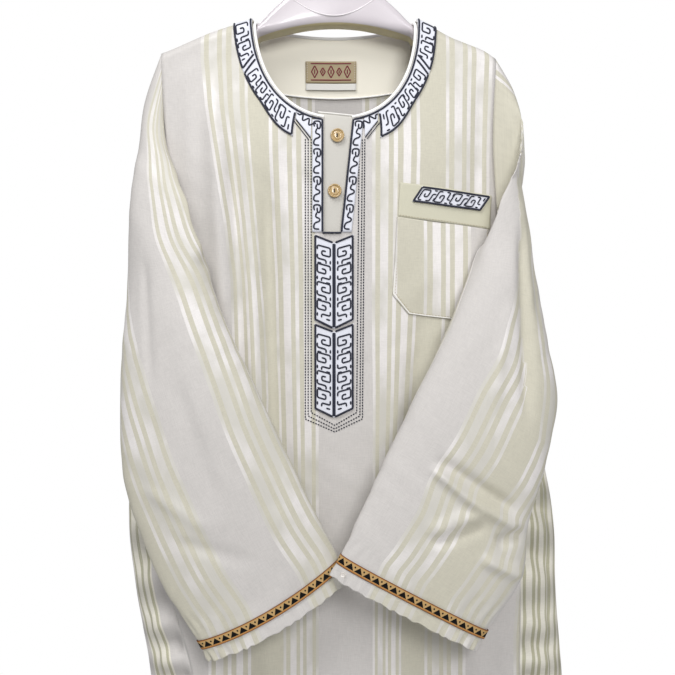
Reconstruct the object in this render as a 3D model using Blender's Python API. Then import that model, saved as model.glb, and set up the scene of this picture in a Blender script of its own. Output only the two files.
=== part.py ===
"""A boy's thobe robe, size 42, hanging on a white wide-shouldered plastic hanger.

The frame is in metres with +Z up. The origin is the inner crown of the hanger's hook, the robe's
front faces -Y, and the wearer's left side is at +X. Each piece that a maker cuts and sews on is
one object. The cloth pieces are thin walls: a surface worked out from the garment's sizes,
thickened outwards by a Solidify modifier.

The body is a ring at each height, a superellipse of half width body_half(z) and half depth
DEPTH. The front and back panels take the ring's flat sides as far as the seams, and a gore on
each side closes it. Above the underarm the panels lean in to the rounded shoulders of the
hanger. A sleeve is a tube through a short table of rings, the first of them the armhole itself.
"""

import math

import bpy
import numpy as np
from mathutils import Vector
from mathutils.bvhtree import BVHTree

# Cloth
CLOTH = 0.0012  # thickness of a wall of cloth
SEAM = 0.0004  # gap between two pieces at a seam
LAID = 0.0007  # gap between a panel and what is sewn on it
TRIM = 0.0010  # thickness of a sewn-on strip

# Shoulders and neck
NECK_HALF = 0.085  # half width of the neck opening at the shoulder line
NECK_Z = -0.124  # height of the shoulder line at the neck
NECK_DROP = 0.113  # how far the front neck edge dips
NECK_POWER = 2.2  # roundness of the front neck curve
NECK_SHIFT = 0.004  # the front neck hangs this far towards +X at its lowest
BACK_NECK_DROP = 0.013  # how far the back neck edge dips
CENTRE_SLOPE = 0.31  # fall of the line under the neck, for each metre out
LEFT_SLOPE = 0.40  # fall of the shoulder at +X
RIGHT_SLOPE = 0.29  # fall of the shoulder at -X
SHOULDER_DEPTH = 0.018  # half depth of the cloth over the hanger, at the centre
SHOULDER_SPREAD = 0.050  # growth of that half depth, for each metre out
SHOULDER_ROUND = 0.014  # height of the rounding over the hanger
LEAN = 0.16  # height over which the chest leans out to its full depth

# Body
UNDERARM_Z = -0.325
HEM_Z = -1.198
BODY_POWER = 3.5
BACK_SHARE = 0.88  # depth of the back of the body as a share of the front's
# Height z, middle of the body, half width to the seams, half width in all, half depth
BODY = (
    # z, middle, seam, half, depth
    (-0.120, -0.006, 0.176, 0.181, 0.044),
    (-0.200, -0.006, 0.170, 0.177, 0.046),
    (-0.260, -0.006, 0.168, 0.176, 0.047),
    (-0.325, -0.005, 0.171, 0.179, 0.047),
    (-0.500, 0.000, 0.174, 0.198, 0.047),
    (-0.650, 0.007, 0.179, 0.221, 0.046),
    (-0.720, 0.012, 0.176, 0.218, 0.045),
    (-0.800, 0.022, 0.165, 0.214, 0.045),
    (-0.950, 0.031, 0.167, 0.217, 0.048),
    (-1.200, 0.032, 0.178, 0.232, 0.054),
)
# Folds of a panel: where each starts, where it is at the hem, its half width and its height
FRONT_FOLDS = (
    # start x, start z, hem x, half width, height
    (-0.108, -0.17, -0.040, 0.018, 0.005),
    (-0.075, -0.20, -0.005, 0.012, -0.003),
    (-0.140, -0.58, -0.118, 0.018, 0.010),
    (-0.058, -0.62, -0.072, 0.016, 0.008),
    (0.050, -0.56, 0.072, 0.020, 0.009),
    (0.140, -0.50, 0.160, 0.020, 0.010),
)
BACK_FOLDS = (
    (-0.120, -0.40, -0.100, 0.022, 0.010),
    (-0.040, -0.55, -0.030, 0.024, 0.008),
    (0.050, -0.45, 0.062, 0.022, 0.010),
    (0.130, -0.38, 0.140, 0.020, 0.009),
)
FOLD_FADE = 0.35  # height over which a fold grows to its full size
FOLD_EDGE = 0.025  # distance from a seam over which the folds die out
GORE_WAVES = 2.5
GORE_WAVE = 0.007  # height of a gore's waves at the hem

# Placket
SLIT_LEFT = 0.011  # from the centre to the slit's edge at -X
SLIT_RIGHT_TOP = 0.018  # and at +X, at the neck
SLIT_RIGHT_END = 0.006  # and at its lower end
SLIT_TOP_Z = -0.236
SLIT_END_Z = -0.350
STRIP_WIDTH = 0.0112
PANEL_HALF = 0.0196  # half width of the two shield panels
PANEL_TIP = 0.0085  # how far a shield's point hangs below its shoulders
PANEL_TALL = 0.0860
PANEL_UPPER_Z = -0.3530
PANEL_LOWER_Z = -0.4420
NECK_BAND = 0.0190  # width of the embroidered band round the neck
PIPING = 0.0016  # radius of the piping
PIPING_GAP = 0.0009
BAND_START = 0.0020  # from the neck edge to the band

# Buttons: x, z
BUTTONS = ((0.0030, -0.2535), (0.0002, -0.3090))
BUTTON_RADIUS = 0.0073
BUTTON_THICK = 0.0026

# Chest pocket, leaning by POCKET_LEAN for each metre across
POCKET_LEFT = 0.062
POCKET_WIDE = 0.0935
POCKET_TOP_Z = -0.3005
POCKET_LEAN = 0.122
POCKET_BAND = 0.0345
POCKET_TALL = 0.0950
POCKET_CORNER = 0.017

# Back neck facing and label
FACING_ROWS = 5  # rows of the back panel that the facing covers
LABEL_MIDDLE = -0.004
LABEL_WIDE = 0.0546
LABEL_TOP_Z = -0.1590
LABEL_TALL = 0.0225
LABEL_STRIP = 0.0067  # height of the white strip under the label

# Sleeves: the outer and inner edge of each ring, how far its front and back bulge from the line
# between them, and how far its front rolls in over the chest
RIGHT_SLEEVE = (
    # outer x, y, z, inner x, y, z, front, back, roll
    (-0.1970, 0.000, -0.2100, -0.1890, -0.004, -0.3220, 0.036, 0.030, 0.014),
    (-0.2050, -0.004, -0.2560, -0.1890, -0.020, -0.3300, 0.040, 0.028, 0.042),
    (-0.2070, -0.014, -0.3050, -0.1760, -0.041, -0.3470, 0.040, 0.022, 0.050),
    (-0.2060, -0.028, -0.3530, -0.1460, -0.053, -0.3670, 0.034, 0.020, 0.020),
    (-0.2080, -0.038, -0.3940, -0.1300, -0.060, -0.3860, 0.030, 0.020, 0.004),
    (-0.2090, -0.052, -0.4440, -0.1200, -0.068, -0.4120, 0.026, 0.022, 0.0),
    (-0.2090, -0.062, -0.4960, -0.1040, -0.074, -0.4500, 0.024, 0.022, 0.0),
    (-0.2050, -0.070, -0.5480, -0.0850, -0.077, -0.4900, 0.022, 0.022, 0.0),
    (-0.1980, -0.075, -0.5990, -0.0640, -0.078, -0.5330, 0.020, 0.020, 0.0),
    (-0.1810, -0.078, -0.6470, -0.0430, -0.077, -0.5780, 0.018, 0.018, 0.0),
    (-0.1590, -0.079, -0.7000, -0.0220, -0.076, -0.6220, 0.015, 0.015, 0.0),
    (-0.1316, -0.079, -0.7480, 0.0025, -0.075, -0.6705, 0.012, 0.012, 0.0),
    (-0.1270, -0.079, -0.7560, 0.0070, -0.075, -0.6785, 0.012, 0.012, 0.0),
    (-0.1200, -0.079, -0.7680, 0.0140, -0.075, -0.6905, 0.013, 0.013, 0.0),
)
LEFT_SLEEVE = (
    (0.1850, 0.000, -0.1970, 0.1800, -0.004, -0.3220, 0.036, 0.030, -0.006),
    (0.1960, -0.004, -0.2400, 0.1800, -0.020, -0.3300, 0.040, 0.028, -0.016),
    (0.1970, -0.016, -0.3040, 0.1690, -0.042, -0.3470, 0.040, 0.022, -0.018),
    (0.1980, -0.030, -0.3600, 0.1520, -0.053, -0.3670, 0.034, 0.020, -0.006),
    (0.2065, -0.042, -0.4085, 0.1385, -0.062, -0.3880, 0.030, 0.020, 0.0),
    (0.2130, -0.054, -0.4630, 0.1260, -0.069, -0.4150, 0.026, 0.022, 0.0),
    (0.2190, -0.064, -0.5120, 0.1110, -0.076, -0.4490, 0.024, 0.022, 0.0),
    (0.2140, -0.072, -0.5500, 0.0940, -0.081, -0.4840, 0.022, 0.022, 0.0),
    (0.1995, -0.077, -0.5940, 0.0740, -0.086, -0.5230, 0.020, 0.020, 0.0),
    (0.1870, -0.080, -0.6320, 0.0545, -0.090, -0.5620, 0.018, 0.018, 0.0),
    (0.1810, -0.083, -0.6810, 0.0360, -0.094, -0.6020, 0.016, 0.016, 0.0),
    (0.1700, -0.085, -0.7030, 0.0210, -0.097, -0.6330, 0.014, 0.014, 0.0),
    (0.1460, -0.086, -0.7360, 0.0083, -0.099, -0.6620, 0.012, 0.012, 0.0),
    (0.1418, -0.086, -0.7440, 0.0040, -0.099, -0.6700, 0.012, 0.012, 0.0),
    (0.1350, -0.086, -0.7560, -0.0025, -0.099, -0.6820, 0.013, 0.013, 0.0),
)
SLEEVE_POWER = 2.4
ARMHOLE_GAP = 0.0018  # between the sleeve's surface and the panels at the armhole
UNDERARM_GAP = 0.0030  # and above the gore
SLEEVE_CLEAR = 0.0055  # least distance of a sleeve in front of the body
ROLL_ANGLE = math.radians(110)  # where a ring rolls in, round from its outer edge
ROLL_SPREAD = math.radians(34)

# Shares of the armhole's height at which the panels have rows, and the ring angles that match
ARMHOLE_ROWS = (0.0, 0.008, 0.030, 0.080, 0.170, 0.320, 0.460, 0.620, 0.800, 1.0)
# Where they have columns at the top: angles round the neck, then shares of the shoulder's length
FRONT_NECK_ANGLES = (62, 45, 29, 16, 7, 2.5, 0)
BACK_NECK_ANGLES = (90, 70, 52, 36, 21, 9, 0)
SHOULDER_COLUMNS = (0.27, 0.55, 0.80, 1.0)
FRONT_ANGLES = (0, 12, 23, 37, 53, 72, 88, 104, 124, 148)
UNDER_ANGLES = (162, 180, 198)
LOWER_ROWS = 13  # rows of the body between the slit's end and the hem

# Hanger
HANGER_TIP = 0.166  # half length of the hanger
HUB_TOP_Z = -0.073  # flat seat of the collar
HUB_RISE = 0.057  # height of the bell-shaped hub above the neck line, before its top is cut flat
HUB_SPREAD = 0.060
ARCH_Z = -0.1296  # underside of the hanger at its middle
ARM_TALL = 0.018  # height of an arm's section beside the neck
HANGER_TALL = 0.030  # height of an arm's section at its tip
HANGER_UNDER = 0.0006  # gap between the hanger's top and the shoulder line
PIPING_ROOM = 0.0066  # how much lower the hanger's top is where the piping crosses it
HANGER_CLEAR = 0.0052  # how much slimmer the hanger is than the cloth over it
HOOK_RADIUS = 0.0190  # inside radius of the hook
HOOK_WIRE = 0.0019  # radius of the wire
COLLAR_RADIUS = 0.0075
COLLAR_TALL = 0.006


def clear_scene():
    for thing in list(bpy.data.objects):
        bpy.data.objects.remove(thing, do_unlink=True)


def linear(colour):
    """Linear colour values of a hex colour such as 'f0e8d0'."""
    values = [int(colour[i : i + 2], 16) / 255 for i in (0, 2, 4)]
    return [v / 12.92 if v <= 0.04045 else ((v + 0.055) / 1.055) ** 2.4 for v in values]


def material(name, colour, rough, metal=0.0):
    made = bpy.data.materials.new(name)
    made.use_nodes = True
    shader = made.node_tree.nodes["Principled BSDF"]
    shader.inputs["Base Color"].default_value = (*linear(colour), 1.0)
    shader.inputs["Roughness"].default_value = rough
    shader.inputs["Metallic"].default_value = metal
    return made


def add_mesh(name, points, faces, look):
    """A named object with smooth faces and its own material."""
    mesh = bpy.data.meshes.new(name)
    mesh.from_pydata([tuple(p) for p in points], [], [tuple(f) for f in faces])
    mesh.update()
    made = bpy.data.objects.new(name, mesh)
    bpy.context.collection.objects.link(made)
    mesh.materials.append(material(name, *look))
    mesh.shade_smooth()
    return made


def thicken(made, thickness):
    """Makes a surface a wall, outwards along its normals."""
    wall = made.modifiers.new("Wall", "SOLIDIFY")
    wall.thickness = thickness
    wall.offset = 1.0
    return made


def grid_faces(rows, columns, closed=False, left_out=(), flip=False):
    """Quads of a grid of points, row by row; closed joins the last column to the first."""
    faces = []
    for r in range(rows - 1):
        for c in range(columns if closed else columns - 1):
            if (r, c) in left_out:
                continue
            n = (c + 1) % columns
            quad = [r * columns + c, r * columns + n, (r + 1) * columns + n, (r + 1) * columns + c]
            faces.append(quad[::-1] if flip else quad)
    return faces


def smooth(t):
    t = np.clip(t, 0.0, 1.0)
    return t * t * (3 - 2 * t)


def through(z, column):
    """A column of BODY at heights z, as a smooth curve through its rows."""
    heights = np.array([row[0] for row in BODY])[::-1]
    values = np.array([row[column] for row in BODY])[::-1]
    slopes = np.gradient(values, heights)
    z = np.clip(z, heights[0], heights[-1])
    i = np.clip(np.searchsorted(heights, z) - 1, 0, len(heights) - 2)
    span = heights[i + 1] - heights[i]
    t = (z - heights[i]) / span
    bend = (1 - t) * slopes[i] - t * slopes[i + 1]
    rise = values[i + 1] - values[i]
    straight = values[i] + rise * t
    return straight + t * (1 - t) * (bend * span - rise * (1 - 2 * t))


def middle(z):
    return through(z, 1)


def seam_half(z):
    return through(z, 2)


def body_half(z):
    return through(z, 3)


def ridge(x):
    """Height of the shoulder line over x, carried on across the neck."""
    out = np.abs(x) - NECK_HALF
    slope = np.where(out < 0, CENTRE_SLOPE, np.where(x > 0, LEFT_SLOPE, RIGHT_SLOPE))
    return NECK_Z - slope * out


def folds(x, z, table):
    """Height of the folds in a table at each point, outwards."""
    total = np.zeros(np.broadcast(x, z).shape)
    for start_x, start_z, hem_x, half, tall in table:
        down = np.clip((start_z - z) / (start_z - HEM_Z), 0, 1)
        at = start_x + (hem_x - start_x) * down
        total = total + tall * smooth((start_z - z) / FOLD_FADE) * np.exp(-(((x - at) / half) ** 2))
    return total


def depth(x, z, back=False):
    """How far the inside of the cloth is from the hanger's plane at (x, z)."""
    below = np.maximum(ridge(x) - z, 0.0)
    over = np.clip(below / SHOULDER_ROUND, 0.0, 1.0)
    rounded = np.sqrt(1 - (1 - over) ** 2)
    on_hanger = (SHOULDER_DEPTH + SHOULDER_SPREAD * np.abs(x)) * rounded
    share = np.clip(np.abs(x - middle(z)) / body_half(z), 0.0, 1.0)
    hanging = through(z, 4) * (1 - share**BODY_POWER) ** (1 / BODY_POWER)
    if back:
        hanging = hanging * BACK_SHARE
    lean = smooth(below / LEAN)
    loose = folds(x, z, BACK_FOLDS if back else FRONT_FOLDS)
    inside = smooth((seam_half(z) - np.abs(x - middle(z))) / FOLD_EDGE)
    return (1 - lean) * on_hanger + lean * hanging * rounded + loose * inside


def neck_point(angle):
    """A point of the front neck edge; the angle runs from the +X shoulder round to the -X one."""
    across = np.sign(np.cos(angle)) * np.abs(np.cos(angle)) ** (2 / NECK_POWER)
    down = np.abs(np.sin(angle)) ** (2 / NECK_POWER)
    return NECK_HALF * across + NECK_SHIFT * down, NECK_Z - NECK_DROP * down


def neck_angle(x):
    """The angle at which the lower neck edge passes x."""
    share = (x - NECK_SHIFT) / NECK_HALF
    return math.acos(math.copysign(abs(share) ** (NECK_POWER / 2), share))


def back_neck(x):
    share = np.clip(np.abs(x) / NECK_HALF, 0, 1)
    return NECK_Z - BACK_NECK_DROP * (1 - share**2)


def slit_edge(z, side):
    """Distance from the centre to the slit's edge at height z."""
    if side < 0:
        return np.full(np.shape(z), SLIT_LEFT)
    t = np.clip((z - SLIT_END_Z) / (SLIT_TOP_Z - SLIT_END_Z), 0, 1)
    return SLIT_RIGHT_END + (SLIT_RIGHT_TOP - SLIT_RIGHT_END) * t


def tip_height(side):
    """Height of the shoulder tip at one side."""
    return float(ridge(middle(NECK_Z) + side * seam_half(NECK_Z)))


def row_heights(top):
    """Heights of a column's rows under its top: the armhole rows, the slit's end, the hem rows."""
    upper = top + (UNDERARM_Z - top) * np.array(ARMHOLE_ROWS)
    lower = SLIT_END_Z + (HEM_Z - SLIT_END_Z) * np.linspace(0, 1, LOWER_ROWS + 1)
    return np.concatenate([upper, lower])


def panel_tops(side, back, seam_x):
    """x and z of the tops of a panel's columns, from the centre out to the shoulder tip."""
    if back:
        x = side * NECK_HALF * np.cos(np.radians(BACK_NECK_ANGLES))
        z = back_neck(x)
    else:
        slit = neck_angle(side * float(slit_edge(SLIT_TOP_Z, side)))
        round_neck = np.radians(FRONT_NECK_ANGLES)
        angles = [slit, *(round_neck if side > 0 else math.pi - round_neck)]
        x, z = neck_point(np.array(angles))
    shoulder = side * (NECK_HALF + np.array(SHOULDER_COLUMNS) * (seam_x - NECK_HALF))
    return np.concatenate([x, shoulder]), np.concatenate([z, ridge(shoulder)])


def panel_half(side, back):
    """One half of a panel's grid, columns by rows, from the centre out.

    At the top the columns are placed round the neck and along the shoulder, and by the
    underarm they have spread out evenly.
    """
    heights = row_heights(tip_height(side))
    outer = side * middle(heights) + seam_half(heights)
    top_x, top_z = panel_tops(side, back, outer[0])
    inner = np.zeros_like(heights) if back else slit_edge(row_heights(SLIT_TOP_Z), side)
    at_top = (side * top_x - inner[0]) / (outer[0] - inner[0])
    spread = np.ones_like(heights)
    spread[: len(ARMHOLE_ROWS)] = np.array(ARMHOLE_ROWS) ** 0.8
    even = np.linspace(0, 1, len(at_top))
    half = []
    for share, share_below, top in zip(at_top, even, top_z):
        x = side * (inner + (share + (share_below - share) * spread) * (outer - inner))
        z = row_heights(float(top))
        y = depth(x, z, back) + SEAM
        half.append(np.stack([x, y if back else -y, z], axis=1))
    return half


def panel_points(back=False):
    """The panel's grid of points, rows by columns, with the columns from -X to +X."""
    right = panel_half(-1, back)[::-1]
    left = panel_half(1, back)
    return np.stack([*(right[:-1] if back else right), *left], axis=1)


def make_front():
    points = panel_points()
    rows, columns = points.shape[:2]
    slit = {(r, columns // 2 - 1) for r in range(len(ARMHOLE_ROWS))}
    faces = grid_faces(rows, columns, left_out=slit, flip=True)
    made = add_mesh("front_panel", points.reshape(-1, 3), faces, ("dcd8cc", 0.7))
    return thicken(made, CLOTH), points


def make_back():
    points = panel_points(back=True)
    rows, columns = points.shape[:2]
    faces = grid_faces(rows, columns)
    made = add_mesh("back_panel", points.reshape(-1, 3), faces, ("d8d4c6", 0.7))
    return thicken(made, CLOTH), points


def gore_points(side):
    """A side gore from its seam with the front round to its seam with the back."""
    heights = row_heights(UNDERARM_Z)[len(ARMHOLE_ROWS) - 1 :]
    heights[0] = UNDERARM_Z - SEAM
    share = np.linspace(0, 1, 11)[None, :]
    z = heights[:, None]
    seam = (seam_half(z) + SEAM) / body_half(z)
    start = np.arcsin(np.clip(1 - seam**BODY_POWER, 0, 1) ** 0.5)
    angle = start * (1 - 2 * share)
    across = np.cos(angle) ** (2 / BODY_POWER)
    along = np.sign(angle) * np.abs(np.sin(angle)) ** (2 / BODY_POWER)
    fall = smooth((UNDERARM_Z - z) / (UNDERARM_Z - HEM_Z))
    wave = GORE_WAVE * fall * np.sin(math.tau * GORE_WAVES * share) * np.sin(math.pi * share)
    deep = through(z, 4) * np.where(angle > 0, 1.0, BACK_SHARE)
    x = middle(z) + side * (across * body_half(z) + wave)
    y = -along * deep - np.sign(angle) * SEAM + 0 * x
    return np.stack([x, y, z + 0 * x], axis=2)


def make_gore(name, side):
    points = gore_points(side)
    rows, columns = points.shape[:2]
    faces = grid_faces(rows, columns, flip=side > 0)
    return thicken(add_mesh(name, points.reshape(-1, 3), faces, ("d4d0c2", 0.7)), CLOTH)


def armhole(side):
    """The ring of the armhole, from the shoulder tip down the front, under and up the back."""
    z = row_heights(tip_height(side))[: len(ARMHOLE_ROWS)]
    x = side * (side * middle(z) + seam_half(z))
    front = np.stack([x, -depth(x, z) - SEAM, z], axis=1)
    back = np.stack([x, depth(x, z, True) + SEAM, z], axis=1)
    under = [front[-1] + (back[-1] - front[-1]) * t for t in (0.25, 0.5, 0.75)]
    for points in (front, back, under):
        for point in points:
            point[0] += side * ARMHOLE_GAP
    for point in (front[-1], back[-1], *under):
        point[2] += UNDERARM_GAP
    return np.concatenate([front, under, back[:0:-1]])


def ring_angles():
    front = list(FRONT_ANGLES)
    under = list(UNDER_ANGLES)
    back = [360 - a for a in FRONT_ANGLES[:0:-1]]
    return np.radians(front + under + back)


def sleeve_rings(table, side):
    """Rings of a sleeve's surface, from the armhole to the hem of its frill."""
    angle = ring_angles()
    across = np.sign(np.cos(angle)) * np.abs(np.cos(angle)) ** (2 / SLEEVE_POWER)
    ahead = np.sign(np.sin(angle)) * np.abs(np.sin(angle)) ** (2 / SLEEVE_POWER)
    rolled = np.exp(-(((angle - ROLL_ANGLE) / ROLL_SPREAD) ** 2))
    rings = [armhole(side)]
    for row in table:
        outer = np.array(row[0:3])
        inner = np.array(row[3:6])
        bulge = np.where(ahead > 0, row[6], row[7])
        roll = row[8]
        chord = (outer - inner) / 2
        along = chord / np.linalg.norm(chord)
        front = np.array([0.0, -1.0, 0.0]) + along[1] * along
        front = front / np.linalg.norm(front)
        ring = (outer + inner) / 2 + across[:, None] * chord + (ahead * bulge)[:, None] * front
        ring[:, 0] += roll * rolled
        rings.append(ring)
    return clear_of_body(np.stack(rings), side)


def clear_of_body(rings, side):
    """Moves a sleeve's points forwards to where they lie clear of the body's front."""
    x, y, z = rings[1:, :, 0], rings[1:, :, 1], rings[1:, :, 2]
    share = np.abs(x - middle(z)) / (body_half(z) + CLOTH + SLEEVE_CLEAR)
    bend = (1 - np.clip(share, 0, 1) ** BODY_POWER) ** (1 / BODY_POWER)
    round_the_side = bend * through(z, 4) * smooth((ridge(x) - z) / LEAN)
    limit = -np.maximum(depth(x, z), round_the_side) - CLOTH - SLEEVE_CLEAR
    beside = (share > 1) | ((z > UNDERARM_Z) & (side * (x - middle(z)) > seam_half(z)))
    rings[1:, :, 1] = np.where(beside, y, np.minimum(y, limit))
    return rings


def make_sleeve(name, table, side):
    rings = sleeve_rings(table, side)
    rows, columns = rings.shape[:2]
    faces = grid_faces(rows, columns, closed=True, flip=side < 0)
    made = add_mesh(name, rings.reshape(-1, 3), faces, ("dedad0", 0.7))
    return thicken(made, CLOTH), rings


def outer_tree(made):
    """A search tree of an object as it is built, walls included."""
    return BVHTree.FromObject(made, bpy.context.evaluated_depsgraph_get())


def laid_on(tree, x, z, gap):
    """Points over (x, z) on a carrier's front, moved off it by the gap."""
    points = np.zeros((*x.shape, 3))
    for i in np.ndindex(x.shape):
        start = Vector((x[i] + 1e-5, -0.5, z[i] - 1e-5))
        hit, normal, _, _ = tree.ray_cast(start, Vector((0, 1, 0)))
        if hit is None:
            raise ValueError(f"nothing to lie on at {x[i]:.4f}, {z[i]:.4f}")
        points[i] = hit + normal * gap
    return points


def lay_patch(name, tree, x, z, look, gap=LAID, thickness=TRIM):
    """A strip or patch sewn on a carrier: a grid over (x, z), thickened off it."""
    points = laid_on(tree, x, z, gap)
    rows, columns = x.shape
    made = add_mesh(name, points.reshape(-1, 3), grid_faces(rows, columns), look)
    facing_front = made.data.polygons[0].normal.y < 0
    if not facing_front:
        made.data.flip_normals()
    return thicken(made, thickness)


def off_neck(angle, out):
    """The neck edge moved away from the opening, turned to follow the shoulder line at its ends."""
    step = 1e-4
    x, z = neck_point(angle)
    x_next, z_next = neck_point(np.clip(angle + step, 0, math.pi))
    x_last, z_last = neck_point(np.clip(angle - step, 0, math.pi))
    along = np.stack([x_next - x_last, z_next - z_last])
    along = along / np.linalg.norm(along, axis=0)
    moved_x = x - along[1] * out
    moved_z = z + along[0] * out
    side = np.where(angle < math.pi / 2, 1, -1)
    from_end = np.minimum(angle, math.pi - angle)
    fall = ridge(side * (NECK_HALF + out)) - NECK_Z - 0.0008
    return moved_x, moved_z + fall * np.exp(-from_end / 0.30)


def make_neck_bands(tree):
    strip_left = -(SLIT_LEFT + STRIP_WIDTH + SEAM)
    strip_right = SLIT_RIGHT_TOP + STRIP_WIDTH + SEAM
    spread = np.linspace(0, 1, 27) ** 1.6
    ends = (
        ("neck_band_left", neck_angle(strip_right) * spread),
        ("neck_band_right", math.pi - (math.pi - neck_angle(strip_left)) * spread),
    )
    out = np.linspace(BAND_START, NECK_BAND, 4)
    for name, angles in ends:
        x, z = off_neck(angles[:, None], out[None, :])
        squared = np.exp(-np.abs(angles - angles[-1]) / 0.16)[:, None]
        x = x + (x[-1:, :1] - x[-1:, :]) * squared
        lay_patch(name, tree, x, z, ("e2e2ea", 0.6))


def off_edge(edge, towards_z):
    """A neck edge's points moved into the opening, towards a height at the centre, to its piping."""
    into = np.stack([-edge[:, 0], 0 * edge[:, 0], towards_z - edge[:, 2]], axis=1)
    into = into / np.linalg.norm(into, axis=1, keepdims=True)
    return edge + into * (PIPING + PIPING_GAP)


def make_piping(front, back):
    """Piping on the neck edge: from the slit round the back to the slit again."""
    slit = front.shape[1] // 2
    reach = len(FRONT_NECK_ANGLES)
    left = off_edge(front[0, slit : slit + reach], NECK_Z - 0.02)
    right = off_edge(front[0, slit - reach : slit], NECK_Z - 0.02)
    centre = back.shape[1] // 2
    reach = len(BACK_NECK_ANGLES) - 1
    behind = off_edge(back[0, centre - reach + 1 : centre + reach], NECK_Z + 0.06)
    add_tube("neck_piping", np.concatenate([left, behind[::-1], right]), PIPING, 1, ("e8e6e0", 0.6))


def add_tube(name, points, radius, smoothness, look):
    """A round tube along points, closed at both ends."""
    curve = bpy.data.curves.new(name, "CURVE")
    curve.dimensions = "3D"
    curve.bevel_depth = radius
    curve.bevel_resolution = smoothness
    curve.use_fill_caps = True
    line = curve.splines.new("POLY")
    line.points.add(len(points) - 1)
    for spot, point in zip(line.points, points):
        spot.co = (*point, 1.0)
    made = bpy.data.objects.new(name, curve)
    bpy.context.collection.objects.link(made)
    curve.materials.append(material(name, *look))
    return made


def make_placket(tree):
    """The two strips beside the slit, the two shield panels below it and the underlap behind it."""
    z = np.linspace(SLIT_END_Z - 0.0005, SLIT_TOP_Z - 0.0015, 12)[:, None]
    out = np.linspace(SEAM, STRIP_WIDTH, 3)[None, :]
    for name, side in (("placket_strip_right", -1), ("placket_strip_left", 1)):
        x = side * (slit_edge(z, side) + out)
        lay_patch(name, tree, x, z + 0 * x, ("dfe0e8", 0.6))
    across = np.linspace(-1, 1, 7)[None, :]
    down = np.linspace(0, 1, 8)[:, None]
    for name, top in (("placket_panel_upper", PANEL_UPPER_Z), ("placket_panel_lower", PANEL_LOWER_Z)):
        x = PANEL_HALF * across - 0.0005 + 0 * down
        z = top - PANEL_TALL * down - PANEL_TIP * (1 - np.abs(across))
        lay_patch(name, tree, x, z, ("dcdce6", 0.6))


def make_underlap():
    z = np.linspace(SLIT_END_Z - 0.006, SLIT_TOP_Z - 0.001, 8)[:, None]
    t = np.linspace(0, 1, 4)[None, :]
    x = -SLIT_LEFT - 0.004 + t * (slit_edge(z, 1) + SLIT_LEFT + 0.008)
    y = -depth(x, z) - SEAM + LAID + CLOTH
    points = np.stack([x, y, z + 0 * x], axis=2)
    rows, columns = x.shape
    made = add_mesh("placket_underlap", points.reshape(-1, 3), grid_faces(rows, columns), ("e0dfcf", 0.7))
    return thicken(made, CLOTH)


def lathe(name, profile, place, facing, segments, look):
    """A turned piece: (radius, height) pairs round an axis that points along facing."""
    turn = Vector((0, 0, 1)).rotation_difference(Vector(facing))
    points = [turn @ Vector((0, 0, profile[0][1])) + Vector(place)]
    for radius, height in profile[1:-1]:
        for i in range(segments):
            a = math.tau * i / segments
            spot = Vector((radius * math.cos(a), radius * math.sin(a), height))
            points.append(turn @ spot + Vector(place))
    points.append(turn @ Vector((0, 0, profile[-1][1])) + Vector(place))
    faces = []
    last = len(points) - 1
    for i in range(segments):
        n = (i + 1) % segments
        faces.append((0, 1 + n, 1 + i))
        for ring in range(len(profile) - 3):
            low = 1 + ring * segments
            high = low + segments
            faces.append((low + i, low + n, high + n, high + i))
        low = 1 + (len(profile) - 3) * segments
        faces.append((low + i, low + n, last))
    return add_mesh(name, points, faces, look)


def make_buttons(tree):
    r, t = BUTTON_RADIUS, BUTTON_THICK
    rim = ((r, 0.45 * t), (0.95 * r, t), (0.75 * r, t))
    profile = ((0, 0), (0.70 * r, 0), *rim, (0.62 * r, 0.6 * t), (0, 0.6 * t))
    for number, (x, z) in enumerate(BUTTONS, 1):
        spot, normal, _, _ = tree.ray_cast(Vector((x, -0.5, z)), Vector((0, 1, 0)))
        lathe(f"button_{number}", profile, spot + normal * 0.0003, normal, 20, ("b9a27c", 0.35))


def pocket_place(across, down):
    """World x and z of a place on the pocket, measured from its upper corner near the placket."""
    x = POCKET_LEFT + across - 0.06 * down + 0.0035
    z = POCKET_TOP_Z - POCKET_LEAN * across - down
    return x, z


def make_pocket(tree):
    across = np.linspace(0, POCKET_WIDE, 12)[None, :]
    down = np.linspace(0, POCKET_BAND, 4)[:, None]
    band = lay_patch("pocket_band", tree, *pocket_place(across, down), ("dedbc4", 0.7))
    down = np.array([0, 0.2, 0.4, 0.6, 0.75, 0.88, 1.0])[:, None] * POCKET_TALL
    taper = np.clip((down - POCKET_TALL + POCKET_CORNER) / POCKET_CORNER, 0, 1) * POCKET_CORNER
    inside = taper + (across / POCKET_WIDE) * (POCKET_WIDE - 2 * taper)
    place = pocket_place(inside - 0.001, down + POCKET_BAND + SEAM)
    lay_patch("pocket_bag", tree, *place, ("d8d5be", 0.7), thickness=CLOTH)
    down = np.linspace(0.0015, 0.0180, 3)[:, None]
    start = 0.0230 - 0.55 * down
    along = np.linspace(0, 1, 9)[None, :]
    spots = start + along * (POCKET_WIDE - 0.0015 - 0.0230)
    lay_patch("pocket_embroidery", outer_tree(band), *pocket_place(spots, down), ("dcdce6", 0.6))


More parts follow.
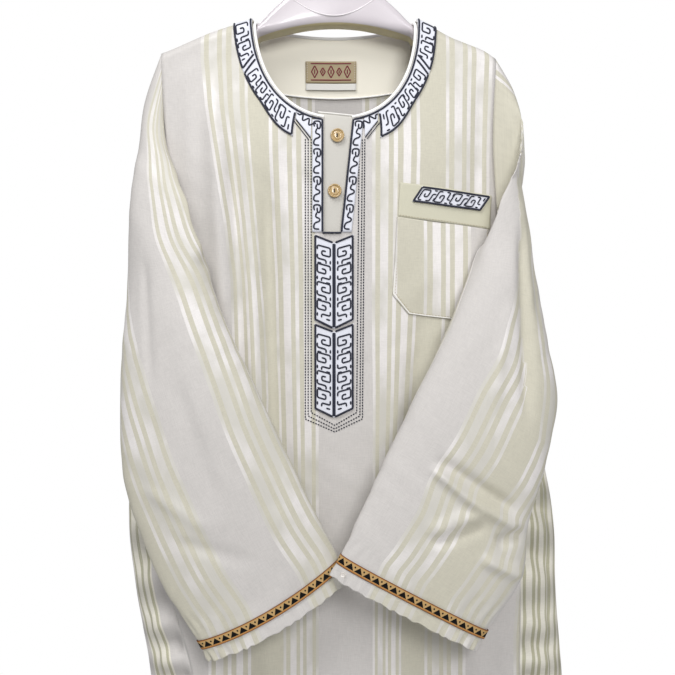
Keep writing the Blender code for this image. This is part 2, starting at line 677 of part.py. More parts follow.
def make_facing(panel_rows):
    """The facing inside the back neck, laid on the back panel's own points, and its label."""
    centre = panel_rows.shape[1] // 2
    reach = len(BACK_NECK_ANGLES) - 2
    chosen = panel_rows[: FACING_ROWS + 1, centre - reach : centre + reach + 1]
    rise = np.gradient(chosen, axis=0)
    run = np.gradient(chosen, axis=1)
    normal = np.cross(run, rise)
    normal = normal / np.linalg.norm(normal, axis=2, keepdims=True)
    normal = normal * np.sign(normal[..., 1:2])
    points = chosen - normal * (LAID + CLOTH)
    rows, columns = points.shape[:2]
    facing = add_mesh("back_neck_facing", points.reshape(-1, 3), grid_faces(rows, columns), ("dddcc8", 0.7))
    if facing.data.polygons[0].normal.y < 0:
        facing.data.flip_normals()
    thicken(facing, CLOTH)
    tree = outer_tree(facing)
    across = LABEL_MIDDLE + LABEL_WIDE * np.linspace(-0.5, 0.5, 7)[None, :]
    down = LABEL_TOP_Z - LABEL_TALL * np.linspace(0, 1, 4)[:, None]
    lay_patch("label", tree, across + 0 * down, down + 0 * across, ("b4a582", 0.6), gap=0.0003)
    down = LABEL_TOP_Z - LABEL_TALL - 0.0003 - LABEL_STRIP * np.linspace(0, 1, 3)[:, None]
    lay_patch("size_label", tree, across + 0 * down, down + 0 * across, ("d8d4c8", 0.6), gap=0.0003)


def make_ribbon(name, sleeve, rings, first):
    """The woven ribbon round a cuff, over two rings of the sleeve."""
    columns = rings.shape[1]
    spots = range(first * columns, (first + 2) * columns)
    moved = [v.co + v.normal * (CLOTH + 0.0003) for v in (sleeve.data.vertices[i] for i in spots)]
    faces = grid_faces(2, columns, closed=True)
    made = add_mesh(name, moved, faces, ("b98f5a", 0.5))
    outward = made.data.polygons[5].normal.y < 0
    if not outward:
        made.data.flip_normals()
    thicken(made, TRIM)


def make_stud(sleeve):
    spot, normal, _, _ = outer_tree(sleeve).ray_cast(Vector((0.0085, -0.5, -0.6795)), Vector((0, 1, 0)))
    profile = ((0, 0), (0.0020, 0), (0.0028, 0.0007), (0.0022, 0.0014), (0.0010, 0.0008), (0, 0.0008))
    lathe("cuff_stud", profile, spot + normal * 0.0003, normal, 14, ("d9cfbb", 0.3))


def hanger_line(x):
    """Height of the hanger's top and bottom at x, and its half depth."""
    out = np.abs(x)
    foot = math.exp(-((NECK_HALF / HUB_SPREAD) ** 2))
    bell = (np.exp(-((out / HUB_SPREAD) ** 2)) - foot) / (1 - foot)
    under = HANGER_UNDER + PIPING_ROOM * np.exp(-(((out - NECK_HALF) / 0.014) ** 2))
    top = np.where(out < NECK_HALF, NECK_Z + HUB_RISE * bell, ridge(x)) - under
    arch = ARCH_Z - 0.0145 * (out / 0.08) ** 2
    arm = top - ARM_TALL - (HANGER_TALL - ARM_TALL) * (out - 0.08) / (HANGER_TIP - 0.08)
    bottom = np.where(out < 0.08, arch, arm)
    return top, bottom, SHOULDER_DEPTH + SHOULDER_SPREAD * out - HANGER_CLEAR


def make_hanger():
    """The hanger's body, lofted through sections from tip to tip, its collar and its hook."""
    around = np.linspace(0, math.tau, 15)[:-1]
    near = (0, 0.010, 0.018, 0.027, 0.038, 0.052, 0.068)
    half = np.array([*near, 0.084, 0.100, 0.125, 0.148, 0.162, HANGER_TIP])
    stations = np.concatenate([-half[:0:-1], half])
    top, bottom, deep = hanger_line(stations)
    blunt = np.where(np.abs(stations) > 0.163, 0.55, 1.0)
    centre = (top + bottom) / 2
    tall = (top - bottom) / 2 * blunt
    y = -np.sin(around)[None, :] * (deep * blunt)[:, None]
    z = np.minimum(centre[:, None] + np.cos(around)[None, :] * tall[:, None], HUB_TOP_Z)
    x = stations[:, None] + 0 * y
    points = np.stack([x, y, z], axis=2)
    rows, columns = y.shape
    faces = grid_faces(rows, columns, closed=True)
    faces.append(list(range(columns))[::-1])
    faces.append([(rows - 1) * columns + i for i in range(columns)])
    add_mesh("hanger_body", points.reshape(-1, 3), faces, ("e9e9e6", 0.25))
    r = COLLAR_RADIUS
    seat = HUB_TOP_Z + 0.0003
    profile = ((0, 0), (r, 0), (r, COLLAR_TALL * 0.7), (0.8 * r, COLLAR_TALL), (0, COLLAR_TALL))
    lathe("hanger_collar", profile, (0, 0, seat), (0, 0, 1), 20, ("e0e0dd", 0.3))
    make_hook(seat + COLLAR_TALL + 0.0003)


def make_hook(start_z):
    """A wire hook: up from the collar, out to one side, and over the top to its free end."""
    bend = HOOK_RADIUS + HOOK_WIRE
    join = math.radians(-62)
    end = Vector((bend * math.cos(join), -HOOK_RADIUS + bend * math.sin(join)))
    heading = Vector((-math.sin(join), math.cos(join)))
    first = Vector((0, start_z + 0.004))
    lift = Vector((0, start_z + 0.016))
    points = [Vector((0, start_z)), first]
    for i in range(1, 8):
        t = i / 8
        reach = end - heading * 0.010
        spot = first * (1 - t) ** 3 + lift * 3 * t * (1 - t) ** 2 + reach * 3 * t * t * (1 - t) + end * t**3
        points.append(spot)
    for i in range(24):
        a = join + (math.radians(196) - join) * i / 23
        points.append(Vector((bend * math.cos(a), -HOOK_RADIUS + bend * math.sin(a))))
    add_tube("hanger_hook", [(p[0], 0.0, p[1]) for p in points], HOOK_WIRE, 2, ("c9cacc", 0.2, 1.0))


def main():
    clear_scene()
    front, front_points = make_front()
    _, back_points = make_back()
    make_gore("side_gore_right", -1)
    make_gore("side_gore_left", 1)
    right, right_rings = make_sleeve("sleeve_right", RIGHT_SLEEVE, -1)
    left, left_rings = make_sleeve("sleeve_left", LEFT_SLEEVE, 1)
    tree = outer_tree(front)
    make_neck_bands(tree)
    make_piping(front_points, back_points)
    make_placket(tree)
    make_buttons(outer_tree(make_underlap()))
    make_pocket(tree)
    make_facing(back_points)
    make_ribbon("cuff_ribbon_right", right, right_rings, len(RIGHT_SLEEVE) - 2)
    make_ribbon("cuff_ribbon_left", left, left_rings, len(LEFT_SLEEVE) - 2)
    make_stud(left)
    make_hanger()


main()
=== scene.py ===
"""The looks of a striped thobe robe on a white moulded hanger.

The frame is in metres, +Z up, the robe's front faces -Y and the wearer's left side is at +X. The
cloth pieces are thin shells on the forms of their solids, worked out on grids of two parameters
from the same sizes, with the creases laid in as soft ridges and troughs. Each cloth grid carries
its weave as a UV map: U runs across the warp stripes, V along them, both in metres.
"""

import math

import bpy
import numpy as np
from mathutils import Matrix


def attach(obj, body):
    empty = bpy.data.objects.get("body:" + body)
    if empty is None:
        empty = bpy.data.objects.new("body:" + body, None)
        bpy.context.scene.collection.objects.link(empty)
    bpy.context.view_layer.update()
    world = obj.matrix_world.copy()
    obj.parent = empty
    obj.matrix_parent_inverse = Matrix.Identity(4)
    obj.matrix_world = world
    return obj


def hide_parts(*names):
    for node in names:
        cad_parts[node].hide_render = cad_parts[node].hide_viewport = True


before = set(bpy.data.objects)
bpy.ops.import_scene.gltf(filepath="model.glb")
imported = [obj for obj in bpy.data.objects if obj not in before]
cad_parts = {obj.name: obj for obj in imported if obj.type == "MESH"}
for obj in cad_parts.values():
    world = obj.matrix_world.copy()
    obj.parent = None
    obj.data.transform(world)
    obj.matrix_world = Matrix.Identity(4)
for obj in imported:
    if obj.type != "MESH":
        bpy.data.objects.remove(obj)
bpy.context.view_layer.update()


def in_metres(rows):
    """A table of millimetres as an array of metres."""
    return np.array(rows, float) / 1000


# Cloth
CLOTH = 0.0012  # thickness of the solids' walls
SHELL = 0.0008  # thickness of the shells
SEAM = 0.0004  # gap between two pieces at a seam
TRIM = 0.0009  # thickness of a sewn-on strip
TRIM_OFF = 0.0013  # how far a strip's face stands off the cloth

# Shoulders and neck, as the solids have them
NECK_HALF = 0.085
NECK_Z = -0.124
NECK_DROP = 0.113
NECK_POWER = 2.2
NECK_SHIFT = 0.004
BACK_NECK_DROP = 0.013
CENTRE_SLOPE = 0.31
LEFT_SLOPE = 0.40
RIGHT_SLOPE = 0.29
# How far the cloth drops at the hanger's tips: height, where the drop starts, and over what length
LEFT_DROPS = ((0.0045, 0.090, 0.035), (0.0075, 0.150, 0.032))
RIGHT_DROP = (0.0085, 0.100, 0.085)
SHOULDER_DEPTH = 0.018
SHOULDER_SPREAD = 0.050
SHOULDER_ROUND = 0.014
LEAN = 0.16

# Body
UNDERARM_Z = -0.325
HEM_Z = -1.198
BODY_POWER = 3.5
BACK_SHARE = 0.88
# Rows of a panel's grid: down to the underarm, on to the slit's end, and to the hem
UPPER_ROWS = 84
SLIT_ROWS = 8
LOWER_ROWS = 250
BODY = in_metres((
    # z, middle, seam, half, depth
    (-120, -6, 176, 181, 44),
    (-200, -6, 170, 177, 46),
    (-260, -6, 168, 176, 47),
    (-325, -5, 171, 179, 47),
    (-500, 0, 174, 198, 47),
    (-650, 7, 179, 221, 46),
    (-720, 12, 176, 218, 45),
    (-800, 22, 165, 214, 45),
    (-950, 31, 167, 217, 48),
    (-1200, 32, 178, 232, 54),
))
# Large folds: start x, start z, hem x, half width, height
FRONT_FOLDS = in_metres((
    (-108, -170, -40, 18, 5),
    (-75, -200, -5, 12, -3),
    (-140, -580, -118, 18, 10),
    (-58, -620, -72, 16, 8),
    (50, -560, 72, 20, 9),
    (140, -500, 160, 20, 10),
))
BACK_FOLDS = in_metres((
    (-120, -400, -100, 22, 10),
    (-40, -550, -30, 24, 8),
    (50, -450, 62, 22, 10),
    (130, -380, 140, 20, 9),
))
FOLD_FADE = 0.35
FOLD_EDGE = 0.025
GORE_WAVES = 2.5
GORE_WAVE = 0.007
PLEATS = 7
PLEAT = 0.0016
WRINKLE = 0.0060
WRINKLE_PITCH = 0.040
# The wrinkles' turns wander by this much of a sine, at this many radians for each metre down
WRINKLE_WANDER = 0.30
WRINKLE_DRIFT = 23
# How far they slant down over the depth of the gore, and how far behind it they lag
WRINKLE_SLANT = 0.32
WRINKLE_LAG = 0.45
# Heights between which the wrinkles grow, and between which they die out
WRINKLES_GROW = (-0.47, -0.53)
WRINKLES_END = (-0.78, -0.94)

# Fine creases: from x, z to x, z, half width, height
FRONT_CREASES = in_metres((
    (-124, -200, -110, -450, 10, 7.0),
    (-103, -250, -90, -520, 7, -6.4),
    (-68, -300, -62, -570, 8, -6.6),
    (-49, -300, -34, -640, 11, 3.2),
    (-150, -170, -146, -300, 9, 2.5),
    (52, -300, 58, -600, 12, 2.8),
    (90, -420, 70, -640, 10, -3.8),
    (150, -200, 140, -330, 7, -2.2),
    (20, -580, 12, -700, 20, 2.0),
))
BACK_CREASES = in_metres((
    (-70, -300, -80, -700, 16, 3.5),
    (20, -250, 10, -560, 14, -3.0),
    (90, -320, 100, -800, 15, 4.0),
    (-20, -800, -10, -1190, 18, -4.0),
    (110, -700, 105, -1190, 14, -3.5),
    (-140, -240, -130, -420, 10, 3.0),
))
# Where the edges of the stripe groups lie on the front, at the heights in the first column
STRIPE_EDGES = in_metres((-204, -150, -102, -75, -27, 27, 75, 102, 150, 204))
FRONT_STRIPES = in_metres((
    (-170, -191, -138, -89, -68, -16, 37, 86, 114, 162, 215),
    (-220, -186, -132, -88, -67, -16, 37, 86, 113, 160, 213),
    (-269, -177, -123, -84, -66, -16, 37, 86, 112, 158, 211),
    (-339, -165, -111, -78, -63, -16, 37, 84, 111, 157, 210),
    (-399, -158, -104, -73, -60, -16, 37, 83, 109, 155, 208),
    (-449, -154, -103, -69, -59, -16, 37, 81, 107, 153, 204),
    (-518, -150, -101, -66, -57, -16, 38, 77, 103, 149, 200),
    (-618, -149, -106, -70, -54, -16, 38, 71, 96, 140, 192),
    (-757, -169, -127, -84, -51, -16, 38, 66, 90, 131, 180),
))

# Placket
SLIT_LEFT = 0.011
SLIT_RIGHT_TOP = 0.018
SLIT_RIGHT_END = 0.006
SLIT_TOP_Z = -0.236
SLIT_END_Z = -0.350
STRIP_WIDTH = 0.0112
PANEL_MIDDLE = -0.0005
PANEL_HALF = 0.0196
PANEL_TIP = 0.0085
PANEL_TALL = 0.0860
PANEL_TOPS = {"placket_panel_upper": -0.3530, "placket_panel_lower": -0.4420}
RUNNING_SEAMS = ((-0.0292, 0.0279, -0.5505), (-0.0264, 0.0254, -0.5475), (-0.0234, 0.0222, -0.5440))
NECK_BAND = 0.0190
BAND_START = 0.0003
BAND_FLARE = 0.0080
# Where the lower panel of each side's band ends, in degrees at its inner and its outer edge, and
# the two ends of the line that closes the corner beside the placket
BAND_ENDS = {-1: (63.2, 68.5), 1: (64.3, 70.6)}
CORNER_LINE = {
    -1: np.array(((-0.0387, -0.2363), (-0.0238, -0.2556))),
    1: np.array(((0.0432, -0.2383), (0.0306, -0.2548))),
}
PIPING = 0.0016
PIPING_GAP = 0.0002
BUTTONS = ((0.0030, -0.2535), (0.0002, -0.3090))
BUTTON_RADIUS = 0.0070
# A button's section: share of its radius, height in mm
BUTTON_CURVE = (
    (0, 0.2), (0.8, 0.2), (0.97, 0.8), (1, 1.3), (0.98, 2.0), (0.92, 2.5), (0.85, 2.5),
    (0.78, 2.0), (0.72, 1.1), (0.66, 1.1), (0.60, 1.7), (0.40, 1.6), (0, 1.4),
)
UNDERLAP_TOP_Z = -0.2296
UNDERLAP_PAST = 0.0055
UNDERLAP_WIDER = 0.0075

# Chest pocket
POCKET_LEFT = 0.0655
POCKET_WIDE = 0.0935
POCKET_TOP_Z = -0.3005
POCKET_LEAN = 0.122
POCKET_SKEW = 0.06
POCKET_BAND = 0.0345
POCKET_TALL = 0.0950
POCKET_CORNER = 0.017
PATCH_START = 0.0230
PATCH_SLANT = 0.55
PATCH_WIDE = 0.0690
POCKET_WEAVE = 0.0130

# Facing and label
FACING_ANGLE = math.radians(12)
FACING_SHARE = 0.32
LABEL_MIDDLE = -0.004
LABEL_WIDE = 0.0546
LABEL_TOP_Z = -0.1590
LABEL_TALL = 0.0225
LABEL_STRIP = 0.0067
LABEL_OFF = 0.0030
LABEL_THICK = 0.0006

# Weave: where a stripe group starts in U, how wide it is, and where U starts on each gore
GROUP_START = 0.027
GROUP_WIDE = 0.048
GORE_START = {-1: 0.002, 1: GROUP_START}
# How much wider the back's warps lie than its shape, and U at its centre
BACK_EASE = 1.06
BACK_START = -0.004

# Sleeves: outer x, y, z, inner x, y, z, front, back, roll
RIGHT_SLEEVE = in_metres((
    (-197, 0, -210, -189, -4, -322, 36, 30, 29),
    (-200, -4, -256, -189, -20, -330, 40, 28, 38),
    (-200, -14, -305, -176, -41, -347, 40, 22, 45),
    (-201, -28, -353, -146, -53, -367, 34, 20, 27),
    (-204, -38, -394, -130, -60, -386, 30, 20, 4),
    (-207, -52, -444, -120, -68, -412, 26, 22, 0),
    (-209, -62, -496, -104, -74, -450, 24, 22, 0),
    (-208, -70, -548, -85, -77, -490, 22, 22, 0),
    (-202, -75, -599, -64, -78, -533, 20, 20, 0),
    (-187, -78, -647, -43, -77, -578, 18, 18, 0),
    (-163, -79, -700, -22, -76, -622, 15, 15, 0),
    (-131.6, -79, -748, 2.5, -75, -670.5, 12, 12, 0),
    (-127, -79, -756, 7, -75, -678.5, 12, 12, 0),
    (-120, -79, -768, 14, -75, -690.5, 13, 13, 0),
))
LEFT_SLEEVE = in_metres((
    (185, 0, -197, 180, -4, -322, 36, 30, 8),
    (191.5, -4, -240, 180, -20, -330, 40, 28, -2),
    (184.5, -16, -304, 169, -42, -347, 40, 22, -15),
    (183.5, -30, -360, 152, -53, -367, 34, 20, -18),
    (200, -42, -408.5, 138.5, -62, -388, 30, 20, -3),
    (210, -54, -463, 126, -69, -415, 26, 22, 0),
    (217, -64, -512, 111, -76, -449, 24, 22, 0),
    (211, -72, -550, 94, -81, -484, 22, 22, 0),
    (199.5, -77, -594, 74, -86, -523, 20, 20, 0),
    (187, -80, -632, 54.5, -90, -562, 18, 18, 0),
    (181, -83, -681, 36, -94, -602, 16, 16, 0),
    (170, -85, -703, 21, -97, -633, 14, 14, 0),
    (146, -86, -736, 8.3, -99, -662, 12, 12, 0),
    (141.8, -86, -744, 4, -99, -670, 12, 12, 0),
    (135, -86, -756, -2.5, -99, -682, 13, 13, 0),
))
SLEEVE_POWER = 2.4
SLEEVE_CLEAR = 0.0055
SLEEVE_COLUMNS = 112
# The roll moves from the front of the first rings to the inner edge of the fifth
ROLL_ANGLES = (110, 110, 122, 140, 160)
ROLL_SPREAD = math.radians(42)
ARMHOLE_ROWS = (0.0, 0.008, 0.030, 0.080, 0.170, 0.320, 0.460, 0.620, 0.800, 1.0)
ARMHOLE_ANGLES = (0, 12, 23, 37, 53, 72, 88, 104, 124, 148)
# Where the stripe group's edge nearest the inner side lies on each sleeve's front: z, x
RIGHT_STRIPE = in_metres((
    (-300, -192), (-357, -178), (-410, -158), (-449, -142), (-490, -125),
    (-519, -115), (-554, -102), (-582, -91), (-632, -70), (-655, -60),
    (-675, -45), (-705, -30), (-730, -18), (-760, -8),
))
LEFT_STRIPE = in_metres((
    (-300, 190), (-368, 186), (-396, 183), (-420, 177), (-455, 162),
    (-486, 147), (-512, 134), (-536, 123), (-565, 109), (-584, 98),
    (-598, 86), (-624, 71), (-651, 55), (-672, 44), (-700, 32),
))
# Creases: from x, z to x, z, half width, height
RIGHT_SLEEVE_CREASES = in_metres((
    (-200, -330, -190, -520, 12, -2.0),
    (-160, -420, -120, -560, 16, 2.2),
    (-60, -620, -30, -690, 12, 1.8),
    (-110, -640, -80, -720, 14, -1.5),
    (-170, -560, -130, -700, 12, 1.5),
    (-186, -380, -176, -500, 5, -2.6),
    (-150, -500, -110, -620, 6, -2.6),
    (-180, -600, -120, -640, 6, 3.0),
    (-150, -650, -80, -672, 6, -2.8),
))
LEFT_SLEEVE_CREASES = in_metres((
    (93, -580, 130, -612, 4.6, 6.6),
    (125, -608, 178, -640, 5.6, 6.8),
    (100, -572, 172, -620, 6.2, -5.4),
    (92, -651, 140.3, -633.7, 5.0, -5.5),
    (92, -639.5, 140.3, -622.2, 5.4, 4.4),
    (154.7, -651.1, 178.8, -641.5, 6.0, -6.5),
    (140.3, -665.5, 178.8, -684.8, 6.0, 6.2),
    (184.6, -350, 184.6, -530, 6.0, -7.0),
    (166, -190, 160, -232, 3.5, -4.2),
    (163, -232, 168, -300, 3.2, -3.0),
    (169, -225, 172.5, -280, 3.0, 2.4),
    (184, -230, 188, -320, 4.5, -2.4),
    (196, -320, 201, -440, 6.0, -3.0),
    (170, -420, 150, -520, 6.0, 2.8),
))
# A lengthwise tuck on the left sleeve's front that hides cloth beside the cream band: z, x
LEFT_TUCK = in_metres(((-340, 183), (-410, 184.6), (-468, 185.6), (-516, 184.6), (-555, 182)))
TUCK_U = 0.084
# How much closer the right sleeve's stripes lie at its head, and how far U has moved there
HEAD_SQUEEZE = 0.32
HEAD_DRIFT = 0.024
# U in the left sleeve's cream band, at its head
CREAM_U = 0.0885
# Way round from the left sleeve's front, and how far U is from the cream band there, at its head
HEAD_STRIPES = ((-0.30, 0.2625), (-0.05, 0.0125), (0.0, 0.0), (0.08, -0.0096), (0.40, -0.3296))
FRILL_DEEP = 0.0135
GATHER_PITCH = 0.0105
RIBBON_WIDE = 0.0093
RIBBON_OFF = 0.0014
# How far a cuff's front sags at its middle
CUFF_SAG = {-1: 0.0085, 1: 0.0}

# Stitching
THREAD_STEP = 0.0008
OUTLINE = 0.0021
MEANDER = {"width": 0.0017, "lift": 0.0015, "tall": 0.0005}
# Strokes of the meander on a grid 6 wide and 8 long: hooks that turn in on themselves
STROKES = (
    ((5.9, 2.3), (5.9, 0.3), (0.1, 0.3), (0.1, 4.3), (3.9, 4.3), (3.9, 2.3), (2.0, 2.3)),
    ((5.9, 4.3), (5.9, 6.3), (2.0, 6.3), (2.0, 8.0)),
    ((0.1, 6.0), (0.1, 7.7)),
    ((4.0, 8.2), (5.9, 8.2)),
)
SHORT_STROKES = (
    ((1.5, 1.9), (0.9, 1.1), (1.1, 0.2), (4.9, 0.2), (5.4, 0.9), (5.2, 2.5), (3.2, 2.5), (3.2, 1.0)),
    (
        (3.2, 2.4), (2.2, 3.2), (2.2, 4.0), (4.9, 4.2), (4.9, 5.2), (1.9, 5.5), (0.9, 6.3), (0.9, 7.4),
        (4.6, 7.5),
    ),
)

# Hanger
HANGER_TIP = 0.166
HUB_TOP_Z = -0.073
HUB_RISE = 0.057
HUB_SPREAD = 0.060
ARCH_Z = -0.1296
ARCH_HALF = 0.08
ARM_TALL = 0.018
HANGER_TALL = 0.030
HANGER_UNDER = 0.0006
PIPING_ROOM = 0.0066
HANGER_CLEAR = 0.0052
HOOK_RADIUS = 0.0190
HOOK_WIRE = 0.0019
COLLAR_RADIUS = 0.0075
COLLAR_TALL = 0.006
COLLAR_CURVE = ((0, 0), (1, 0), (1, 0.6), (0.95, 0.85), (0.8, 1), (0.45, 1), (0, 0.98))


# Curves


def smooth(t):
    """0 below 0, 1 above 1, and 3t^2 - 2t^3 between."""
    t = np.clip(t, 0.0, 1.0)
    return t * t * (3 - 2 * t)


def bulged(wave, power):
    """A sine or cosine raised to 2 / power with its sign kept, as a superellipse has it."""
    return np.sign(wave) * np.abs(wave) ** (2 / power)


def unit(vectors):
    """Vectors divided by their lengths, which lie along the last axis."""
    return vectors / np.maximum(np.linalg.norm(vectors, axis=-1, keepdims=True), 1e-12)


def hermite(knots, values, at):
    """A cubic curve through values at the knots, its slopes those of the neighbours' line."""
    slopes = np.gradient(values, knots, axis=0)
    i = np.clip(np.searchsorted(knots, at) - 1, 0, len(knots) - 2)
    span = knots[i + 1] - knots[i]
    t = (at - knots[i]) / span
    extra = (1,) * (values.ndim - 1)
    t, span = np.reshape(t, np.shape(t) + extra), np.reshape(span, np.shape(span) + extra)
    bend = (1 - t) * slopes[i] - t * slopes[i + 1]
    rise = values[i + 1] - values[i]
    return values[i] + rise * t + t * (1 - t) * (bend * span - rise * (1 - 2 * t))


def lengths(path):
    """How far along a path each of its points is."""
    return np.concatenate([[0], np.cumsum(np.linalg.norm(np.diff(path, axis=0), axis=1))])


def points_along(path, at):
    """Points of a flat path at distances along it, on straight lines between its own."""
    walked = lengths(path)
    return np.stack([np.interp(at, walked, path[:, k]) for k in (0, 1)], axis=1)


def bell_line(x, z, table):
    """Fine creases: a bell across each line, dying out towards its two ends."""
    total = np.zeros(np.broadcast(x, z).shape)
    for x0, z0, x1, z1, half, tall in table:
        run, fall = x1 - x0, z1 - z0
        length = math.hypot(run, fall)
        along = ((x - x0) * run + (z - z0) * fall) / length**2
        off = ((x - x0) * fall - (z - z0) * run) / length
        ends = smooth(along / 0.3 + 0.35) * smooth((1 - along) / 0.3 + 0.35)
        total = total + tall * ends * np.exp(-((off / half) ** 2))
    return total


# The robe's form


def through(z, column):
    """A column of BODY at heights z, as a cubic curve through its rows with averaged slopes."""
    heights = BODY[::-1, 0]
    return hermite(heights, BODY[::-1, column], np.clip(z, heights[0], heights[-1]))


def middle(z):
    """x in the middle of the body at height z."""
    return through(z, 1)


def seam_half(z):
    """Distance from the body's middle to the side seams of the panels."""
    return through(z, 2)


def body_half(z):
    """Distance from the body's middle to its sides."""
    return through(z, 3)


def from_seam(x, z):
    """How far (x, z) is inside the seam that closes the panel at its side."""
    return seam_half(z) - np.abs(x - middle(z))


def ridge(x):
    """Height of the shoulder line over x, carried on across the neck; the cloth drops at the tips."""
    out = np.abs(x) - NECK_HALF
    slope = np.where(out < 0, CENTRE_SLOPE, np.where(x > 0, LEFT_SLOPE, RIGHT_SLOPE))
    left_drop = sum(tall * smooth((x - start) / over) for tall, start, over in LEFT_DROPS)
    tall, start, over = RIGHT_DROP
    right_drop = tall * smooth((-x - start) / over) ** 1.5
    return NECK_Z - slope * out - np.where(x > 0, left_drop, right_drop)


def shoulder_tip(side):
    """Height at which the shoulder line meets the armhole seam."""
    tip = NECK_Z
    for _ in range(8):
        tip = float(ridge(middle(tip) + side * seam_half(tip)))
    return tip


def seam_round(x, z):
    """0 on the shoulder line and 1 from 3 mm below it, where front and back are sewn together."""
    below = np.clip((ridge(x) - z) / 0.003, 0.0, 1.0)
    return np.sqrt(1 - (1 - below) ** 2)


def over_ridge(x, z):
    """Heights of the cloth's outside: a little over the shoulder line where it turns over it."""
    return z + 0.0012 * (1 - seam_round(x, z))


def folds(x, z, table):
    """Large folds: a bell across each, growing downwards, on a line from its start to the hem."""
    total = np.zeros(np.broadcast(x, z).shape)
    for start_x, start_z, hem_x, half, tall in table:
        down = np.clip((start_z - z) / (start_z - HEM_Z), 0, 1)
        at = start_x + (hem_x - start_x) * down
        total = total + tall * smooth((start_z - z) / FOLD_FADE) * np.exp(-(((x - at) / half) ** 2))
    return total


def depth(x, z, back=False):
    """How far the inside of the cloth is from the hanger's plane at (x, z).

    At the shoulders it is the hanger's half depth, rounded over the ridge, and it passes
    smoothly into the body's superellipse with the large folds.
    """
    below = np.maximum(ridge(x) - z, 0.0)
    over = np.clip(below / SHOULDER_ROUND, 0.0, 1.0)
    rounded = np.sqrt(1 - (1 - over) ** 2)
    on_hanger = (SHOULDER_DEPTH + SHOULDER_SPREAD * np.abs(x)) * rounded
    share = np.clip(np.abs(x - middle(z)) / body_half(z), 0.0, 1.0)
    hanging = through(z, 4) * (1 - share**BODY_POWER) ** (1 / BODY_POWER)
    if back:
        hanging = hanging * BACK_SHARE
    lean = smooth(below / LEAN)
    loose = folds(x, z, BACK_FOLDS if back else FRONT_FOLDS)
    inside = smooth(from_seam(x, z) / FOLD_EDGE)
    return (1 - lean) * on_hanger + lean * hanging * rounded + loose * inside


def slub(x, z):
    """The cloth's small unevenness, a sum of long slow waves, under half a millimetre."""
    wave = np.sin(61 * x + 17 * z) * np.sin(37 * z - 23 * x + 1.3)
    return 0.00045 * wave + 0.0003 * np.sin(140 * x + 9 * np.sin(21 * z)) * np.sin(52 * z + 0.7)


def panel_out(x, z, back=False):
    """How far a panel's outer face is from the hanger's plane: depth, wall and fine creases."""
    below = smooth((ridge(x) - z - 0.010) / 0.03)
    inside = smooth(from_seam(x, z) / 0.012)
    fine = bell_line(x, z, BACK_CREASES if back else FRONT_CREASES) + slub(-x if back else x, z)
    return depth(x, z, back) + (SEAM + CLOTH) * seam_round(x, z) + fine * below * inside


def on_front(x, z, off):
    """Points over (x, z), moved off the front panel's face along its normal."""
    e = 0.0004
    x, z = np.broadcast_arrays(np.asarray(x, float), np.asarray(z, float))
    slope_x = -(panel_out(x + e, z) - panel_out(x - e, z)) / (2 * e)
    slope_z = -(panel_out(x, z + e) - panel_out(x, z - e)) / (2 * e)
    normal = unit(np.stack([slope_x, -np.ones_like(x), slope_z], axis=-1))
    face = np.stack([x, -panel_out(x, z), over_ridge(x, z)], axis=-1)
    return face + normal * np.asarray(off)[..., None]


def back_inside(x, z, off):
    """Points over (x, z) on the inside of the back panel, moved forwards off it."""
    x, z = np.broadcast_arrays(np.asarray(x, float), np.asarray(z, float))
    return np.stack([x, depth(x, z, True) + SEAM - off, z], axis=-1)


def neck_point(angle):
    """A point of the front neck edge; the angle runs from the +X shoulder round to the -X one."""
    down = np.abs(np.sin(angle)) ** (2 / NECK_POWER)
    x = NECK_HALF * bulged(np.cos(angle), NECK_POWER) + NECK_SHIFT * down
    return x, NECK_Z - NECK_DROP * down


def neck_angle(x):
    """The angle of the neck edge at x, without the small shift's own change."""
    share = (x - NECK_SHIFT) / NECK_HALF
    return math.acos(math.copysign(abs(share) ** (NECK_POWER / 2), share))


def neck_degrees(side, out):
    """Degrees round the neck from a side's shoulder to its point that far from the centre."""
    degrees = math.degrees(neck_angle(side * float(out)))
    return degrees if side > 0 else 180 - degrees


def back_neck(x):
    """Height of the back neck edge, a parabola."""
    share = np.clip(np.abs(x) / NECK_HALF, 0, 1)
    return NECK_Z - BACK_NECK_DROP * (1 - share**2)


def slit_edge(z, side):
    """Distance from the centre to the slit's edge at height z."""
    if side < 0:
        return np.full(np.shape(z), SLIT_LEFT)
    t = np.clip((z - SLIT_END_Z) / (SLIT_TOP_Z - SLIT_END_Z), 0, 1)
    return SLIT_RIGHT_END + (SLIT_RIGHT_TOP - SLIT_RIGHT_END) * t


def slit_top(side):
    """Distance from the centre to the slit's edge at its top."""
    return float(slit_edge(SLIT_TOP_Z, side))


# Materials


def linear(code):
    """An sRGB hex colour as linear red, green, blue and alpha."""
    parts = [int(code[i : i + 2], 16) / 255 for i in (0, 2, 4)]
    return (*[c / 12.92 if c <= 0.04045 else ((c + 0.055) / 1.055) ** 2.4 for c in parts], 1.0)


def node(tree, kind, inputs=None, **settings):
    """Adds a node with its settings; an input is a value, or a socket to link."""
    made = tree.nodes.new(kind)
    for name, value in settings.items():
        setattr(made, name, value)
    for name, value in (inputs or {}).items():
        if isinstance(value, bpy.types.NodeSocket):
            tree.links.new(value, made.inputs[name])
        else:
            made.inputs[name].default_value = value
    return made


def calc(tree, operation, *values):
    """A Math node's result."""
    return node(tree, "ShaderNodeMath", dict(enumerate(values)), operation=operation).outputs[0]


def remap(tree, value, *ends, **settings):
    """A value whose range from the first to the second end becomes the third to the fourth."""
    inputs = {"Value": value, **dict(enumerate(ends, 1))}
    return node(tree, "ShaderNodeMapRange", inputs, **settings).outputs[0]


